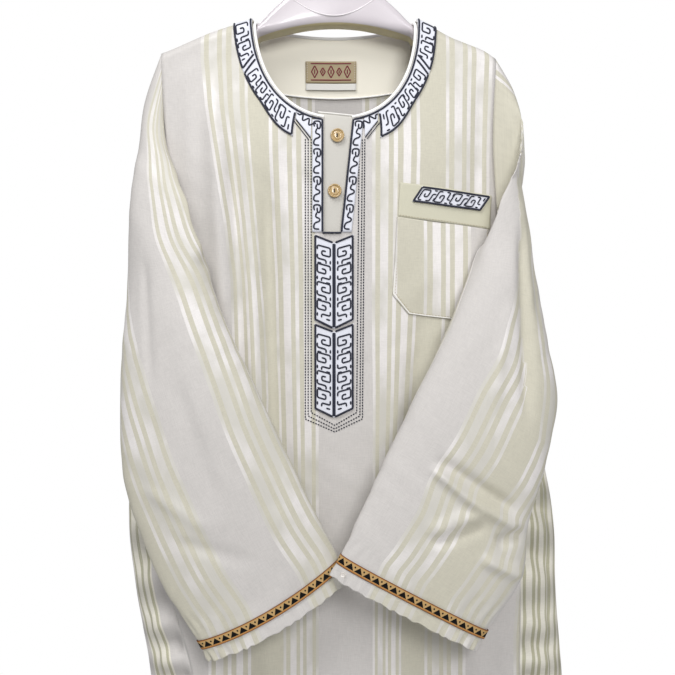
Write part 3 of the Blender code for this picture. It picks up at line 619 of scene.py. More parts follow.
def scaled(tree, colour, factor):
    """A colour multiplied by a factor."""
    inputs = {0: colour, 1: factor}
    return node(tree, "ShaderNodeVectorMath", inputs, operation="MULTIPLY").outputs[0]


def mixed(tree, factor, first, second):
    """The first colour where the factor is 0 and the second where it is 1."""
    inputs = {"Factor": factor, 6: first, 7: second}
    return node(tree, "ShaderNodeMix", inputs, data_type="RGBA").outputs[2]


def weave_place(tree):
    """The weave map's place, its U and its V."""
    place = node(tree, "ShaderNodeUVMap", uv_map="weave").outputs[0]
    parts = node(tree, "ShaderNodeSeparateXYZ", {"Vector": place})
    return place, parts.outputs["X"], parts.outputs["Y"]


def weave_noise(tree, place, stretch, **inputs):
    """Noise with so many blotches for each metre across and along the weave."""
    mapped = node(tree, "ShaderNodeMapping", {"Vector": place, "Scale": (*stretch, 1.0)}).outputs[0]
    inputs = {"Vector": mapped, "Scale": 1.0, "Detail": 3.0, **inputs}
    return node(tree, "ShaderNodeTexNoise", inputs).outputs["Fac"]


def object_noise(tree, scale, detail):
    """Noise on the object's own coordinates."""
    place = node(tree, "ShaderNodeTexCoord").outputs["Object"]
    inputs = {"Vector": place, "Scale": scale, "Detail": detail}
    return node(tree, "ShaderNodeTexNoise", inputs).outputs["Fac"]


def bumps(tree, height, strength, distance):
    """The normal of a surface with a little relief."""
    inputs = {"Height": height, "Strength": strength, "Distance": distance}
    return node(tree, "ShaderNodeBump", inputs).outputs[0]


def new_look(name, **values):
    """A material with its Principled shader's own values."""
    made = bpy.data.materials.new(name)
    made.use_nodes = True
    shader = made.node_tree.nodes["Principled BSDF"]
    for key, value in values.items():
        shader.inputs[key.replace("_", " ")].default_value = value
    return made, made.node_tree, shader


def feed(tree, shader, **sockets):
    """Links sockets to the shader's inputs."""
    for key, socket in sockets.items():
        tree.links.new(socket, shader.inputs[key.replace("_", " ")])


def ramp(tree, factor, stops):
    """A colour ramp of even bands, each from its place on, over (place, hex colour, alpha) stops."""
    made = node(tree, "ShaderNodeValToRGB", {"Fac": factor})
    band = made.color_ramp
    band.interpolation = "CONSTANT"
    while len(band.elements) < len(stops):
        band.elements.new(0.5)
    for element, (place, _, _) in zip(band.elements, stops):
        element.position = place
    for element, (_, code, alpha) in zip(band.elements, stops):
        element.color = (*linear(code)[:3], alpha)
    return made


GROUND = "cdc9c6"
CREAM = "c9c5b5"
SATIN = "e1dddb"
# Painted shade: the colour of satin painted with no shine
DULL_SATIN = "cac7be"
# One repeat of the warp in millimetres: plain band, group of satin stripes, cream band, group
HALF_BAND = 27.0
GROUP = tuple(zip("SCSCSCSCS", (3.7, 5.0, 8.0, 5.3, 3.8, 5.3, 8.0, 5.2, 3.7)))
REPEAT = (("G", 2 * HALF_BAND), *GROUP, ("C", 27.0), *GROUP[::-1])
REPEAT_MM = sum(width for _, width in REPEAT)


def painted_fold_light(tree, height, strength):
    """A tone near 1 by height: a cosine whose turns are those of a gore's wrinkles at its middle.

    It paints a highlight on a wrinkle's upper side and shade under it. The strength grows from
    nothing where the wrinkles begin, and is nearly spent where they end.
    """
    slow = calc(tree, "SINE", calc(tree, "MULTIPLY", height, WRINKLE_DRIFT))
    start = calc(tree, "MULTIPLY_ADD", slow, WRINKLE_WANDER, 0.23)
    turns = calc(tree, "MULTIPLY_ADD", height, 1 / WRINKLE_PITCH, start)
    wave = calc(tree, "COSINE", calc(tree, "MULTIPLY", turns, math.tau))
    grown = remap(tree, height, *WRINKLES_GROW, 0.0, strength)
    spent = remap(tree, height, *WRINKLES_END, 1.0, 0.15)
    return calc(tree, "MULTIPLY_ADD", wave, calc(tree, "MULTIPLY", grown, spent), 1.0)


def striped_cloth(name, cream=CREAM, satin=SATIN, fade=(0.46, 0.62), cuff_shade=0.0, painted_folds=0.0):
    """Cotton blend, plain woven with satin warp stripes: a matt ground and a soft shine on the satin."""
    made, tree, shader = new_look(name, Sheen_Weight=0.12, Sheen_Roughness=0.5)
    place, across, along = weave_place(tree)
    turns = calc(tree, "MULTIPLY_ADD", across, 1000 / REPEAT_MM, HALF_BAND / REPEAT_MM)
    colours = {"G": GROUND, "C": cream, "S": satin}
    stops, start = [], 0.0
    for kind, width in REPEAT:
        stops.append((start / REPEAT_MM, colours[kind], float(kind == "S")))
        start += width
    stripes = ramp(tree, calc(tree, "FRACT", turns), stops)
    on_satin = stripes.outputs["Alpha"]
    # Weft slubs every 1.5 mm, drawn coarser than the real 0.5 mm yarn so that they show
    slubs = weave_noise(tree, place, (140.0, 820.0), Distortion=0.4)
    warps = weave_noise(tree, place, (1000.0, 110.0), Distortion=0.4)
    weave = calc(tree, "ADD", slubs, warps)
    toned = scaled(tree, stripes.outputs["Color"], remap(tree, weave, 0.6, 1.4, 0.90, 1.04))
    # Painted sheen: in patches 4 to 7 cm long the satin is painted dull, so the stripes fade into the
    # ground, and its painted shine comes and goes with them; towards a sleeve's cuff more of it is
    # painted dull, as painted shade
    sheen_patches = weave_noise(tree, place, (22.0, 14.0))
    dulling = calc(tree, "ADD", sheen_patches, remap(tree, along, -0.22, -0.42, 0.0, cuff_shade))
    dulled = calc(tree, "MULTIPLY", remap(tree, dulling, *fade, 0.0, 0.85), on_satin)
    toned = mixed(tree, dulled, toned, linear(DULL_SATIN))
    # Painted highlight and shade on the satin, in the same patches
    painted_sheen = remap(tree, sheen_patches, 0.3, 0.7, 0.03, -0.06)
    toned = scaled(tree, toned, calc(tree, "MULTIPLY_ADD", painted_sheen, on_satin, 1.0))
    # Painted highlight on each wrinkle's upper side and painted shade under it
    if painted_folds:
        toned = scaled(tree, toned, painted_fold_light(tree, along, painted_folds))
    rough = remap(tree, on_satin, 0.0, 1.0, 0.82, 0.46)
    feed(tree, shader, Base_Color=toned, Roughness=rough, Normal=bumps(tree, weave, 0.25, 0.0004))
    return made


def plain_weave(name, code, rough, size=1100.0, deep=0.03):
    """Plain woven cloth or twill: a fine crossed grain on Object coordinates."""
    made, tree, shader = new_look(name, Roughness=rough, Sheen_Weight=0.1)
    grain = object_noise(tree, size, 2.0)
    light = linear(code)
    low = (*[c * (1 - 2 * deep) for c in light[:3]], 1.0)
    feed(tree, shader, Base_Color=mixed(tree, grain, low, light), Normal=bumps(tree, grain, 0.2, 0.0003))
    return made


def ribbon_look():
    """Woven ribbon: gold ground, dark triangles with dots between, orange selvedges."""
    made, tree, shader = new_look("jacquard_ribbon", Roughness=0.75, Specular_IOR_Level=0.2)
    _, along, rise = weave_place(tree)
    phase = calc(tree, "FRACT", calc(tree, "MULTIPLY", along, 1 / 0.0094))
    away = calc(tree, "ABSOLUTE", calc(tree, "SUBTRACT", phase, 0.5))
    # Triangle: its half width shrinks from 0.46 of a step at its foot to nothing at its tip
    width = remap(tree, rise, 0.22, 0.84, 0.46, 0.0, clamp=False)
    above = calc(tree, "GREATER_THAN", rise, 0.22)
    triangle = calc(tree, "MULTIPLY", calc(tree, "LESS_THAN", away, width), above)
    flat = calc(tree, "MULTIPLY", calc(tree, "SUBTRACT", 0.5, away), 9.4)
    tall = calc(tree, "MULTIPLY", calc(tree, "SUBTRACT", rise, 0.64), 8.5)
    spot = node(tree, "ShaderNodeCombineXYZ", {0: flat, 1: tall}).outputs[0]
    far = node(tree, "ShaderNodeVectorMath", {0: spot}, operation="LENGTH").outputs["Value"]
    dark = calc(tree, "MAXIMUM", triangle, calc(tree, "LESS_THAN", far, 0.85))
    edges = ((0.0, "7a4c2c"), (0.06, "b07c46"), (0.20, "bb9a68"), (0.86, "b5844c"), (0.93, "6f4428"))
    bands = ramp(tree, rise, [(*edge, 1.0) for edge in edges])
    feed(tree, shader, Base_Color=mixed(tree, dark, bands.outputs["Color"], linear("050404")))
    return made


def glossy(name, code, rough, coat=0.0, metal=0.0):
    """A hard, smooth finish with a faint unevenness in its gloss, from polishing and handling."""
    made, tree, shader = new_look(name, Metallic=metal, Coat_Weight=coat, Base_Color=linear(code))
    grain = object_noise(tree, 60.0, 3.0)
    feed(tree, shader, Roughness=remap(tree, grain, 0.0, 1.0, rough * 0.85, rough * 1.15))
    return made


# Each look's slot and material
LOOKS = {
    "cloth": ("striped_cloth", striped_cloth("striped_cotton")),
    # Painted shade: the sleeves' satin is painted dull in more patches, and more so towards the cuff
    "sleeve": ("striped_cloth", striped_cloth("cuff_shaded_striped_cotton", fade=(0.44, 0.60), cuff_shade=0.12)),
    # The gores hang in tight folds; their cream is coloured darker beside the satin as painted shade
    # from the sleeves, and painted highlights and shade run across their wrinkles
    "gore": (
        "striped_cloth",
        striped_cloth("shade_painted_striped_cotton", "b5b29a", "e4e0d4", (0.55, 0.70), painted_folds=0.20),
    ),
    "cream": ("plain_cloth", plain_weave("cream_plain_weave", "cbc8b4", 0.78)),
    # Painted light: the facing is coloured much lighter than the robe's cream, to light the inside of
    # the back neck
    "facing": ("plain_cloth", plain_weave("light_painted_facing_weave", "fffaec", 0.78, deep=0.01)),
    "underlap": ("plain_cloth", plain_weave("grey_white_weave", "cac7c0", 0.78)),
    "white": ("plain_cloth", plain_weave("white_plain_weave", "f0eee9", 0.75)),
    "piping": ("plain_cloth", plain_weave("bright_white_bias_tape", "fdfcfa", 0.75, deep=0.01)),
    "backing": ("embroidery", plain_weave("white_twill_backing", "dfe1eb", 0.7)),
    "navy": ("embroidery", plain_weave("navy_rayon_thread", "161a30", 0.7, 2500.0, 0.1)),
    "label": ("label_cloth", plain_weave("beige_label_taffeta", "b7a685", 0.6)),
    "maroon": ("label_cloth", plain_weave("maroon_label_thread", "7d2430", 0.6)),
    "ribbon": ("ribbon", ribbon_look()),
    "plastic": ("hanger", glossy("white_moulded_plastic", "cfc8cd", 0.20, coat=0.3)),
    # Painted highlight: the moulded ridge in the same plastic, coloured lighter
    "highlight": ("hanger", glossy("highlight_painted_moulded_edge", "e6e1e4", 0.3, coat=0.2)),
    # Painted shade and reflection: the white plastic coloured khaki where it lies under the hanger
    "underside_shade": ("hanger", glossy("shaded_moulded_plastic", "c2b78f", 0.35)),
    "button": ("button", glossy("polished_horn_resin", "b89c6c", 0.22, coat=0.6)),
    "hole": ("button", glossy("shaded_button_hole", "4a3b28", 0.6)),
    "steel": ("hook_metal", glossy("chromed_steel_wire", "d6d7da", 0.12, metal=1.0)),
    "tan": ("plain_cloth", plain_weave("tan_thread", "b7ab90", 0.6)),
}


# Pieces


def add_object(name, data):
    """A new object in the scene."""
    made = bpy.data.objects.new(name, data)
    bpy.context.collection.objects.link(made)
    return made


def place_piece(made, look, replaced):
    """Gives a piece its material and body, and hides the solids it stands for."""
    slot, material = LOOKS[look]
    made.data.materials.clear()
    made.data.materials.append(material)
    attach(made, "root")
    if replaced:
        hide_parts(*replaced)
    return made


def add_mesh(name, points, faces, look, replaced=(), uv=None, corners=None, thick=0.0):
    """A mesh from point and face arrays, smooth, with its weave map and its wall."""
    used, new = np.unique(faces, return_inverse=True)
    mesh = bpy.data.meshes.new(name)
    mesh.from_pydata(points[used].tolist(), [], new.reshape(faces.shape).tolist())
    if uv is not None:
        layer = mesh.uv_layers.new(name="weave")
        layer.data.foreach_set("uv", uv[corners.ravel()].astype(np.float32).ravel())
    mesh.polygons.foreach_set("use_smooth", np.ones(len(mesh.polygons), bool))
    made = add_object(name, mesh)
    if thick:
        wall = made.modifiers.new("wall", "SOLIDIFY")
        wall.thickness = thick
        wall.offset = -1.0
    return place_piece(made, look, replaced)


def quads(at):
    """The corners of a grid's cells, from the numbers of its points."""
    return np.stack([at[:-1, :-1], at[:-1, 1:], at[1:, 1:], at[1:, :-1]], axis=-1)


def add_grid(name, points, look, replaced=(), uv=None, closed=False, keep=None, flip=False, thick=0.0):
    """A grid of points, rows by columns, as quads; closed joins the last column to the first."""
    rows, columns = points.shape[:2]
    at = np.arange(rows * columns).reshape(rows, columns)
    if closed:
        at = np.hstack([at, at[:, :1]])
    faces, corners = quads(at), quads(np.arange(at.size).reshape(at.shape))
    if keep is not None:
        faces, corners = faces[keep], corners[keep]
    faces, corners = faces.reshape(-1, 4), corners.reshape(-1, 4)
    if flip:
        faces, corners = faces[:, ::-1], corners[:, ::-1]
    if uv is not None:
        uv = uv.reshape(-1, 2)
    return add_mesh(name, points.reshape(-1, 3), faces, look, replaced, uv, corners, thick)


def add_cloth(name, points, look, uv=None, thick=SHELL, **grid):
    """A grid of cloth that stands for the solid whose name it has."""
    return add_grid(name + "_cloth", points, look, [name], uv, thick=thick, **grid)


def add_trim(name, x, z, off=TRIM_OFF, **grid):
    """A strip of white backing cloth sewn to the front."""
    add_cloth(name, on_front(x, z, off), "backing", thick=TRIM, **grid)


# Cloth pieces


def panel_grid(side, back):
    """One half of a panel, rows by columns from the centre out: x and z.

    The columns start round the neck and along the shoulder at the top, and have spread out
    evenly by the underarm; the rows run from the top edge to the underarm and on to the hem.
    """
    share = np.linspace(0, 1, UPPER_ROWS) ** 1.7
    to_slit_end = np.linspace(UNDERARM_Z, SLIT_END_Z, SLIT_ROWS + 1)[1:]
    lower = np.concatenate([to_slit_end, np.linspace(SLIT_END_Z, HEM_Z, LOWER_ROWS)[1:]])
    tip = shoulder_tip(side)
    seam_z = np.concatenate([tip + (UNDERARM_Z - tip) * share, lower])
    outer = side * middle(seam_z) + seam_half(seam_z)
    if back:
        top_x = NECK_HALF * np.cos(np.radians(np.linspace(90, 0, 26)))
        top_z = back_neck(top_x)
        inner = np.zeros_like(seam_z)
    else:
        start = neck_angle(side * slit_top(side))
        angles = start + ((0 if side > 0 else math.pi) - start) * np.linspace(0, 1, 30)
        top_x, top_z = neck_point(angles)
        top_x = side * top_x
        slit_z = np.concatenate([SLIT_TOP_Z + (UNDERARM_Z - SLIT_TOP_Z) * share, lower])
        inner = slit_edge(slit_z, side)
    shoulder = NECK_HALF + np.linspace(0, 1, 24)[1:] * (outer[0] - NECK_HALF)
    top_x = np.concatenate([top_x, shoulder])
    top_z = np.concatenate([top_z, ridge(side * shoulder)])
    at_top = (top_x - inner[0]) / (outer[0] - inner[0])
    spread = np.concatenate([share**0.8, np.ones(len(lower))])[:, None]
    even = np.linspace(0, 1, len(at_top))
    x = inner[:, None] + (at_top + (even - at_top) * spread) * (outer - inner)[:, None]
    upper_z = top_z + (UNDERARM_Z - top_z) * share[:, None]
    z = np.concatenate([upper_z, np.repeat(lower[:, None], len(top_x), axis=1)])
    return side * x, z


def front_weave(x, z):
    """U and V of the front: U from the stripe table, by height and then across."""
    heights, places = FRONT_STRIPES[::-1, 0], FRONT_STRIPES[::-1, 1:]
    at = np.clip(z, heights[0], heights[-1])
    i = np.clip(np.searchsorted(heights, at) - 1, 0, len(heights) - 2)
    t = ((at - heights[i]) / (heights[i + 1] - heights[i]))[..., None]
    row = places[i] * (1 - t) + places[i + 1] * t
    k = np.clip((row <= x[..., None]).sum(axis=-1) - 1, 0, len(STRIPE_EDGES) - 2)
    low = np.take_along_axis(row, k[..., None], -1)[..., 0]
    high = np.take_along_axis(row, k[..., None] + 1, -1)[..., 0]
    u = STRIPE_EDGES[k] + (x - low) / (high - low) * (STRIPE_EDGES[k + 1] - STRIPE_EDGES[k])
    return np.stack([u, z], axis=-1)


def make_front():
    """The front panel: two halves, with two columns between them that close it below the slit."""
    right_x, right_z = (half[:, ::-1] for half in panel_grid(-1, False))
    left_x, left_z = panel_grid(1, False)
    near, far = right_x[:, -1:], left_x[:, :1]
    x = np.hstack([right_x, *(near + (far - near) * t for t in (0.33, 0.67)), left_x])
    z = np.hstack([right_z, right_z[:, -1:], left_z[:, :1], left_z])
    keep = np.ones((x.shape[0] - 1, x.shape[1] - 1), bool)
    centre = right_x.shape[1]
    keep[: UPPER_ROWS + SLIT_ROWS - 1, centre - 1 : centre + 2] = False
    points = np.stack([x, -panel_out(x, z), over_ridge(x, z)], axis=-1)
    made = add_cloth("front_panel", points, "cloth", front_weave(x, z), keep=keep, flip=True)


def make_back():
    """The back panel: two halves that share the centre column, with evenly spaced warps."""
    right_x, right_z = (half[:, :0:-1] for half in panel_grid(-1, True))
    left_x, left_z = panel_grid(1, True)
    x, z = np.hstack([right_x, left_x]), np.hstack([right_z, left_z])
    points = np.stack([x, panel_out(x, z, True), over_ridge(x, z)], axis=-1)
    uv = np.stack([x * BACK_EASE + BACK_START, z], axis=-1)
    made = add_cloth("back_panel", points, "cloth", uv)


def gore_line(z, share, side):
    """The body's superellipse between a gore's two seams, share 0 at the front one and 1 behind."""
    seam = seam_half(z) / body_half(z)
    start = np.arcsin(np.clip(1 - seam**BODY_POWER, 0, 1) ** 0.5)
    angle = start * (1 - 2 * share)
    across, along = bulged(np.cos(angle), BODY_POWER), bulged(np.sin(angle), BODY_POWER)
    deep = through(z, 4) * np.where(angle > 0, 1.0, BACK_SHARE)
    x = middle(z) + side * (across * body_half(z) + CLOTH * np.sin(math.pi * share))
    return x, -along * deep - (SEAM + CLOTH) * (1 - 2 * share)


def make_gore(name, side):
    """A side gore, with waves that grow down it and crosswise wrinkles where the sleeve crowds it.

    The wrinkles are two sines down the gore, steeper on their upper sides, that slant down
    towards the side and are quieter behind; they and the waves only go in from its outline.
    """
    z = np.linspace(UNDERARM_Z, HEM_Z, 420)[:, None]
    share = np.linspace(0, 1, 72)
    x, y = gore_line(z, share, side)
    step = np.hypot(np.diff(x, axis=1), np.diff(y, axis=1))
    arc = np.hstack([np.zeros((len(z), 1)), np.cumsum(step, axis=1)])
    arch = np.sin(math.pi * share)
    fall = smooth((UNDERARM_Z - z) / (UNDERARM_Z - HEM_Z))
    wave = GORE_WAVE * fall * (np.sin(math.tau * GORE_WAVES * share) - 1) * arch
    out = np.maximum(side * (x - middle(z)) - seam_half(z), 0)
    slanted = (z + WRINKLE_SLANT * out) / WRINKLE_PITCH + WRINKLE_LAG * share
    turn = math.tau * (slanted + WRINKLE_WANDER * np.sin(WRINKLE_DRIFT * z))
    ramped = np.sin(turn) + 0.22 * np.sin(2 * turn)
    ends = (WRINKLES_GROW, WRINKLES_END)
    grown, spent = (smooth((z - first) / (last - first)) for first, last in ends)
    uneven = 0.68 + 0.32 * np.sin(29 * z + 3.0 * share) * np.sin(67 * z)
    crowd = grown * (1 - 0.9 * spent) * uneven
    held = smooth(share / 0.05) * smooth((1 - share) / 0.05)
    tight = np.cos(math.pi * share) * (1 - 0.8 * smooth((share - 0.40) / 0.30))
    pleats = np.sin(math.tau * PLEATS * share + 5 * np.sin(z * 6))
    pleat = PLEAT * pleats * arch * smooth((-0.42 - z) / 0.1)
    x = x + side * (wave + pleat * np.abs(tight))
    y = y + WRINKLE * (ramped + 1.1) * crowd * held * tight
    # Pleats hide the plain bands, so the stripe group runs across and back again
    turns = np.abs((1.3 * arc / GROUP_WIDE + 1) % 2 - 1)
    uv = np.stack([GORE_START[side] + GROUP_WIDE * turns, z + 0 * arc], axis=-1)
    points = np.stack([x, y, z + 0 * x], axis=-1)
    made = add_cloth(name, points, "gore", uv, flip=side > 0)


def armhole(angle, side):
    """The armhole ring: down the front panel's edge, along the gore's top and up the back panel's."""
    degrees = np.degrees(angle)
    turned = np.minimum(degrees, 360 - degrees)
    share = np.interp(turned, ARMHOLE_ANGLES, ARMHOLE_ROWS)
    tip = shoulder_tip(side)
    z = tip + (UNDERARM_Z - tip) * share
    x = middle(z) + side * seam_half(z)
    y = np.where(degrees < 180, -panel_out(x, z), panel_out(x, z, True))
    last = ARMHOLE_ANGLES[-1]
    under = np.clip((degrees - last) / (360 - 2 * last), 0, 1)
    gore_x, gore_y = gore_line(np.full(len(angle), UNDERARM_Z), under, side)
    below = turned > last
    return np.stack([np.where(below, gore_x, x), np.where(below, gore_y, y), over_ridge(x, z)], axis=1)


def sleeve_rings(table, side, places):
    """Rings of a sleeve's outer surface at places along it, 0 at the armhole and 1 at its hem.

    A ring is a superellipse on the line from its outer to its inner edge, its front rolled in
    over the chest; the rings between the table's rows are cubic curves through them, kept in
    front of the body. The sleeve's length comes with them.
    """
    angle = np.linspace(0, math.tau, SLEEVE_COLUMNS + 1)[:-1]
    across, ahead = bulged(np.cos(angle), SLEEVE_POWER), bulged(np.sin(angle), SLEEVE_POWER)
    rings = [armhole(angle, side)]
    centres = [rings[0].mean(axis=0)]
    for number, row in enumerate(table):
        outer, inner, (front_bulge, back_bulge, roll) = row[0:3], row[3:6], row[6:9]
        bulge = np.where(ahead > 0, front_bulge, back_bulge) + CLOTH
        centre, chord = (outer + inner) / 2, (outer - inner) / 2
        out = unit(chord)
        front = unit(np.array([0.0, -1.0, 0.0]) + out[1] * out)
        spots = centre + across[:, None] * (chord + out * CLOTH) + (ahead * bulge)[:, None] * front
        towards = math.radians(ROLL_ANGLES[min(number, len(ROLL_ANGLES) - 1)])
        spots[:, 0] += roll * np.exp(-(((angle - towards) / ROLL_SPREAD) ** 2))
        rings.append(spots)
        centres.append(centre)
    walked = lengths(np.array(centres))
    rings = hermite(walked, np.stack(rings), places * walked[-1])
    sag = CUFF_SAG[side] * smooth((places - 0.72) / 0.24)[:, None] * np.clip(1 - across**2, 0, 1)
    rings[..., 2] -= np.where(ahead > 0, 1.0, 0.4) * sag
    x, y, z = np.moveaxis(rings, -1, 0)
    far = np.abs(x - middle(z)) / (body_half(z) + CLOTH + SLEEVE_CLEAR)
    bend = (1 - np.clip(far, 0, 1) ** BODY_POWER) ** (1 / BODY_POWER)
    round_the_side = bend * through(z, 4) * smooth((ridge(x) - z) / LEAN)
    limit = -np.maximum(depth(x, z), round_the_side) - CLOTH - SLEEVE_CLEAR
    beside = (far > 1) | ((z > UNDERARM_Z) & (side * (x - middle(z)) > seam_half(z)))
    eased = smooth(places / 0.04)[:, None]
    rings[..., 1] = np.where(beside, y, y + (np.minimum(y, limit) - y) * eased)
    return rings, walked[-1]


def outward(points, side):
    """Normals of a closed grid of rings, pointing out of it."""
    around = np.roll(points, -1, axis=1) - np.roll(points, 1, axis=1)
    normal = unit(np.cross(around, np.gradient(points, axis=0)) * side)
    inside = points - points.mean(axis=1, keepdims=True)
    return normal * np.sign((normal * inside).sum(axis=(1, 2)))[:, None, None]


def round_arc(rings):
    """How far round its ring each point is, and in one more column each ring's whole length."""
    step = np.linalg.norm(np.roll(rings, -1, axis=1) - rings, axis=-1)
    return np.hstack([np.zeros((len(rings), 1)), np.cumsum(step, axis=1)])


def sleeve_weave(rings, side, places, length, stripe):
    """U and V of a sleeve: U is the way round from the stripe group's edge on the front.

    At the left sleeve's head U stays near the cream band, and outside its tuck it starts anew.
    """
    arc = round_arc(rings)
    rows = np.arange(len(rings))
    kernel = np.hanning(71) / np.hanning(71).sum()

    def arc_at(line, top, low):
        """Arc where the front crosses a line of z and x, smoothed along the sleeve."""
        front = slice(4, SLEEVE_COLUMNS // 2 - 2)
        x, z = rings[:, front, 0], rings[:, front, 2]
        beyond = side * (np.interp(z, line[::-1, 0], line[::-1, 1]) - x) > 0
        first = np.argmax(beyond, axis=1)
        level = np.take_along_axis(z, first[:, None], axis=1)[:, 0]
        valid = beyond.any(axis=1) & (first > 0) & (z.mean(axis=1) < top) & (level > low)
        at = np.interp(rows, rows[valid], arc[rows, first + front.start][valid])
        return np.convolve(np.pad(at, 35, mode="reflect", reflect_type="odd"), kernel, mode="valid")

    u = arc - arc_at(stripe, -0.33, -1.0)[:, None]
    if side < 0:
        # The group lies closer at the head, where the roll's gathers hide cloth
        u = u * (1 + HEAD_SQUEEZE * (1 - smooth((places - 0.10) / 0.28)))[:, None]
        u = u + HEAD_DRIFT * (1 - smooth((places - 0.05) / 0.17))[:, None]
    u = GROUP_START - side * u
    if side > 0:
        near = smooth((places - 0.03) / 0.12)[:, None]
        past = arc - arc[:, SLEEVE_COLUMNS // 4][:, None]
        u = (1 - near) * (CREAM_U + np.interp(past, *zip(*HEAD_STRIPES))) + near * u
        tuck = arc_at(LEFT_TUCK, -0.33, -0.56)[:, None]
        inside = smooth((places - 0.10) / 0.08)[:, None]
        beyond = TUCK_U + tuck - arc
        u = np.where(arc < tuck, u + inside * np.maximum(beyond - u, 0), u)
    return np.stack([u, -places[:, None] * length + 0 * u], axis=-1)


def make_sleeve(name, table, side, stripe, marks):
    """A sleeve's shell with its creases and frill, and the ribbon over the frill's gathers."""
    places = np.concatenate([np.linspace(0, 0.93, 200), np.linspace(0.93, 1.0, 46)[1:]])
    rings, length = sleeve_rings(table, side, places)
    uv = sleeve_weave(rings, side, places, length, stripe)
    normal = outward(rings, side)
    x, z = rings[..., 0], rings[..., 2]
    off = bell_line(x, z, marks) * smooth(-normal[..., 1] * 1.6) + slub(x * 1.3, z)
    off = off + 0.6 * bell_line(x + 0.01, z + 0.04, marks) * smooth(normal[..., 1] * 1.6)
    arc = round_arc(rings)[:, 1:]
    ribbon_end = 1 - FRILL_DEEP / length
    in_frill = smooth((places - ribbon_end) / (1 - ribbon_end) * 1.5)[:, None]
    above = np.exp(-(((places - ribbon_end + 0.045) / 0.022) ** 2))[:, None]
    gather = np.sin(math.tau * arc / GATHER_PITCH + 1.7 * np.sin(arc * 90) + 0.6 * side)
    off = off + 0.0013 * gather * in_frill + 0.0006 * gather * above
    eased = smooth(places / 0.05)[:, None]
    shell = rings + normal * (off * eased)[..., None]
    shell[..., 2] -= 0.0009 * (in_frill * np.sin(arc * 410 + 2 * np.sin(arc * 130)))
    made = add_cloth(name, shell, "sleeve", uv, closed=True, flip=side < 0)
    # The ribbon covers the 9 mm above the frill
    share = np.array([0, 0.08, 0.3, 0.5, 0.7, 0.92, 1.0])
    bands, _ = sleeve_rings(table, side, ribbon_end + RIBBON_WIDE / length * (share - 1))
    bands = bands + outward(bands, side) * RIBBON_OFF
    arc = round_arc(bands)
    uv = np.stack([arc, (1 - share)[:, None] + 0 * arc], axis=-1)
    ribbon = name.replace("sleeve", "cuff_ribbon")
    add_grid(ribbon + "_weave", bands, "ribbon", [ribbon], uv, closed=True, flip=side < 0, thick=TRIM)


# Stitching


def add_thread(name, paths, width, look="navy", on=on_front, lift=0.0016, tall=0.0007):
    """Raised lines of thread: a flat half-round bead carried along each path over a surface."""
    profile = np.array([(-1, -0.3), (-0.75, 0.65), (0, 1.0), (0.75, 0.65), (1, -0.3)])
    n = len(profile)
    all_points, all_faces, start = [], [], 0
    for path in paths:
        path = np.asarray(path, float)
        length = lengths(path)[-1]
        count = max(3, int(length / THREAD_STEP) + 1)
        line = points_along(path, np.linspace(0, length, count))
        along = unit(np.gradient(line, axis=0))
        aside = np.stack([-along[:, 1], along[:, 0]], axis=1)
        slim = np.ones((count, 1))
        slim[[0, -1]] = 0.35
        flat = line[:, None, :] + aside[:, None, :] * (profile[:, 0] * slim * width / 2)[..., None]
        points = on(flat[..., 0], flat[..., 1], lift + profile[:, 1] * slim * tall)
        all_points.append(points.reshape(-1, 3))
        at = start + np.arange(count * n).reshape(count, n)
        at = np.hstack([at, at[:, :1]])
        sides = quads(at)[..., [0, 3, 2, 1]].reshape(-1, 4)
        all_faces += [sides, at[[0]][:, [0, 1, 3, 4]], at[[-1]][:, [4, 3, 1, 0]]]
        start += count * n
    add_mesh(name, np.concatenate(all_points), np.concatenate(all_faces), look)


def rounded(path, reach):
    """A path with its corners cut twice: within reach of each, and then finer within those cuts."""
    path = np.asarray(path, float)
    for cut_reach in (reach, reach * 0.3):
        side = np.diff(path, axis=0)
        length = np.linalg.norm(side, axis=1, keepdims=True)
        cut = np.minimum(cut_reach, length * 0.3) * side / length
        inner = np.empty((2 * len(side), 2))
        inner[0::2] = path[:-1] + cut
        inner[1::2] = path[1:] - cut
        path = np.concatenate([path[:1], inner[1:-1], path[-1:]])
    return path


def meander(to_surface, wide, long, units, strokes=STROKES, mirror=False):
    """Strokes repeated along a band, each long unit the mirror of the one before it."""
    paths = []
    for number in range(units):
        for stroke in strokes:
            path = rounded(stroke, 0.45 if strokes is STROKES else 0.9)
            p, q = path[:, 0] / 6, (path[:, 1] / 8.35 + number) / units
            if (number % 2 == 1 and strokes is STROKES) != mirror:
                p = 1 - p
            paths.append(np.stack(to_surface((p - 0.5) * wide, q * long), axis=1))
    return paths


def dashes(path, stitch, pitch):
    """The stitches of a running seam: pieces of a path, each as long as a stitch."""
    path = np.asarray(path, float)
    starts = np.arange(0, lengths(path)[-1] - stitch, pitch)
    return [points_along(path, start + np.linspace(0, stitch, 3)) for start in starts]


def off_neck(side, degrees, out):
    """The neck edge moved away from the opening, turned to follow the shoulder line at its ends."""
    angle = np.radians(degrees) if side > 0 else math.pi - np.radians(degrees)
    step = 1e-4
    x, z = neck_point(angle)
    x_next, z_next = neck_point(np.clip(angle + step, 0, math.pi))
    x_last, z_last = neck_point(np.clip(angle - step, 0, math.pi))
    along = unit(np.stack([x_next - x_last, z_next - z_last], axis=-1))
    fall = ridge(np.where(angle < math.pi / 2, 1, -1) * (NECK_HALF + out)) - NECK_Z - 0.0008
    from_end = np.minimum(angle, math.pi - angle)
    return x - along[..., 1] * out, z + along[..., 0] * out + fall * np.exp(-from_end / 0.30)


def neck_line(side, degrees, out):
    """off_neck's x and z as one array of points."""
    return np.stack(off_neck(side, degrees, out), axis=-1)


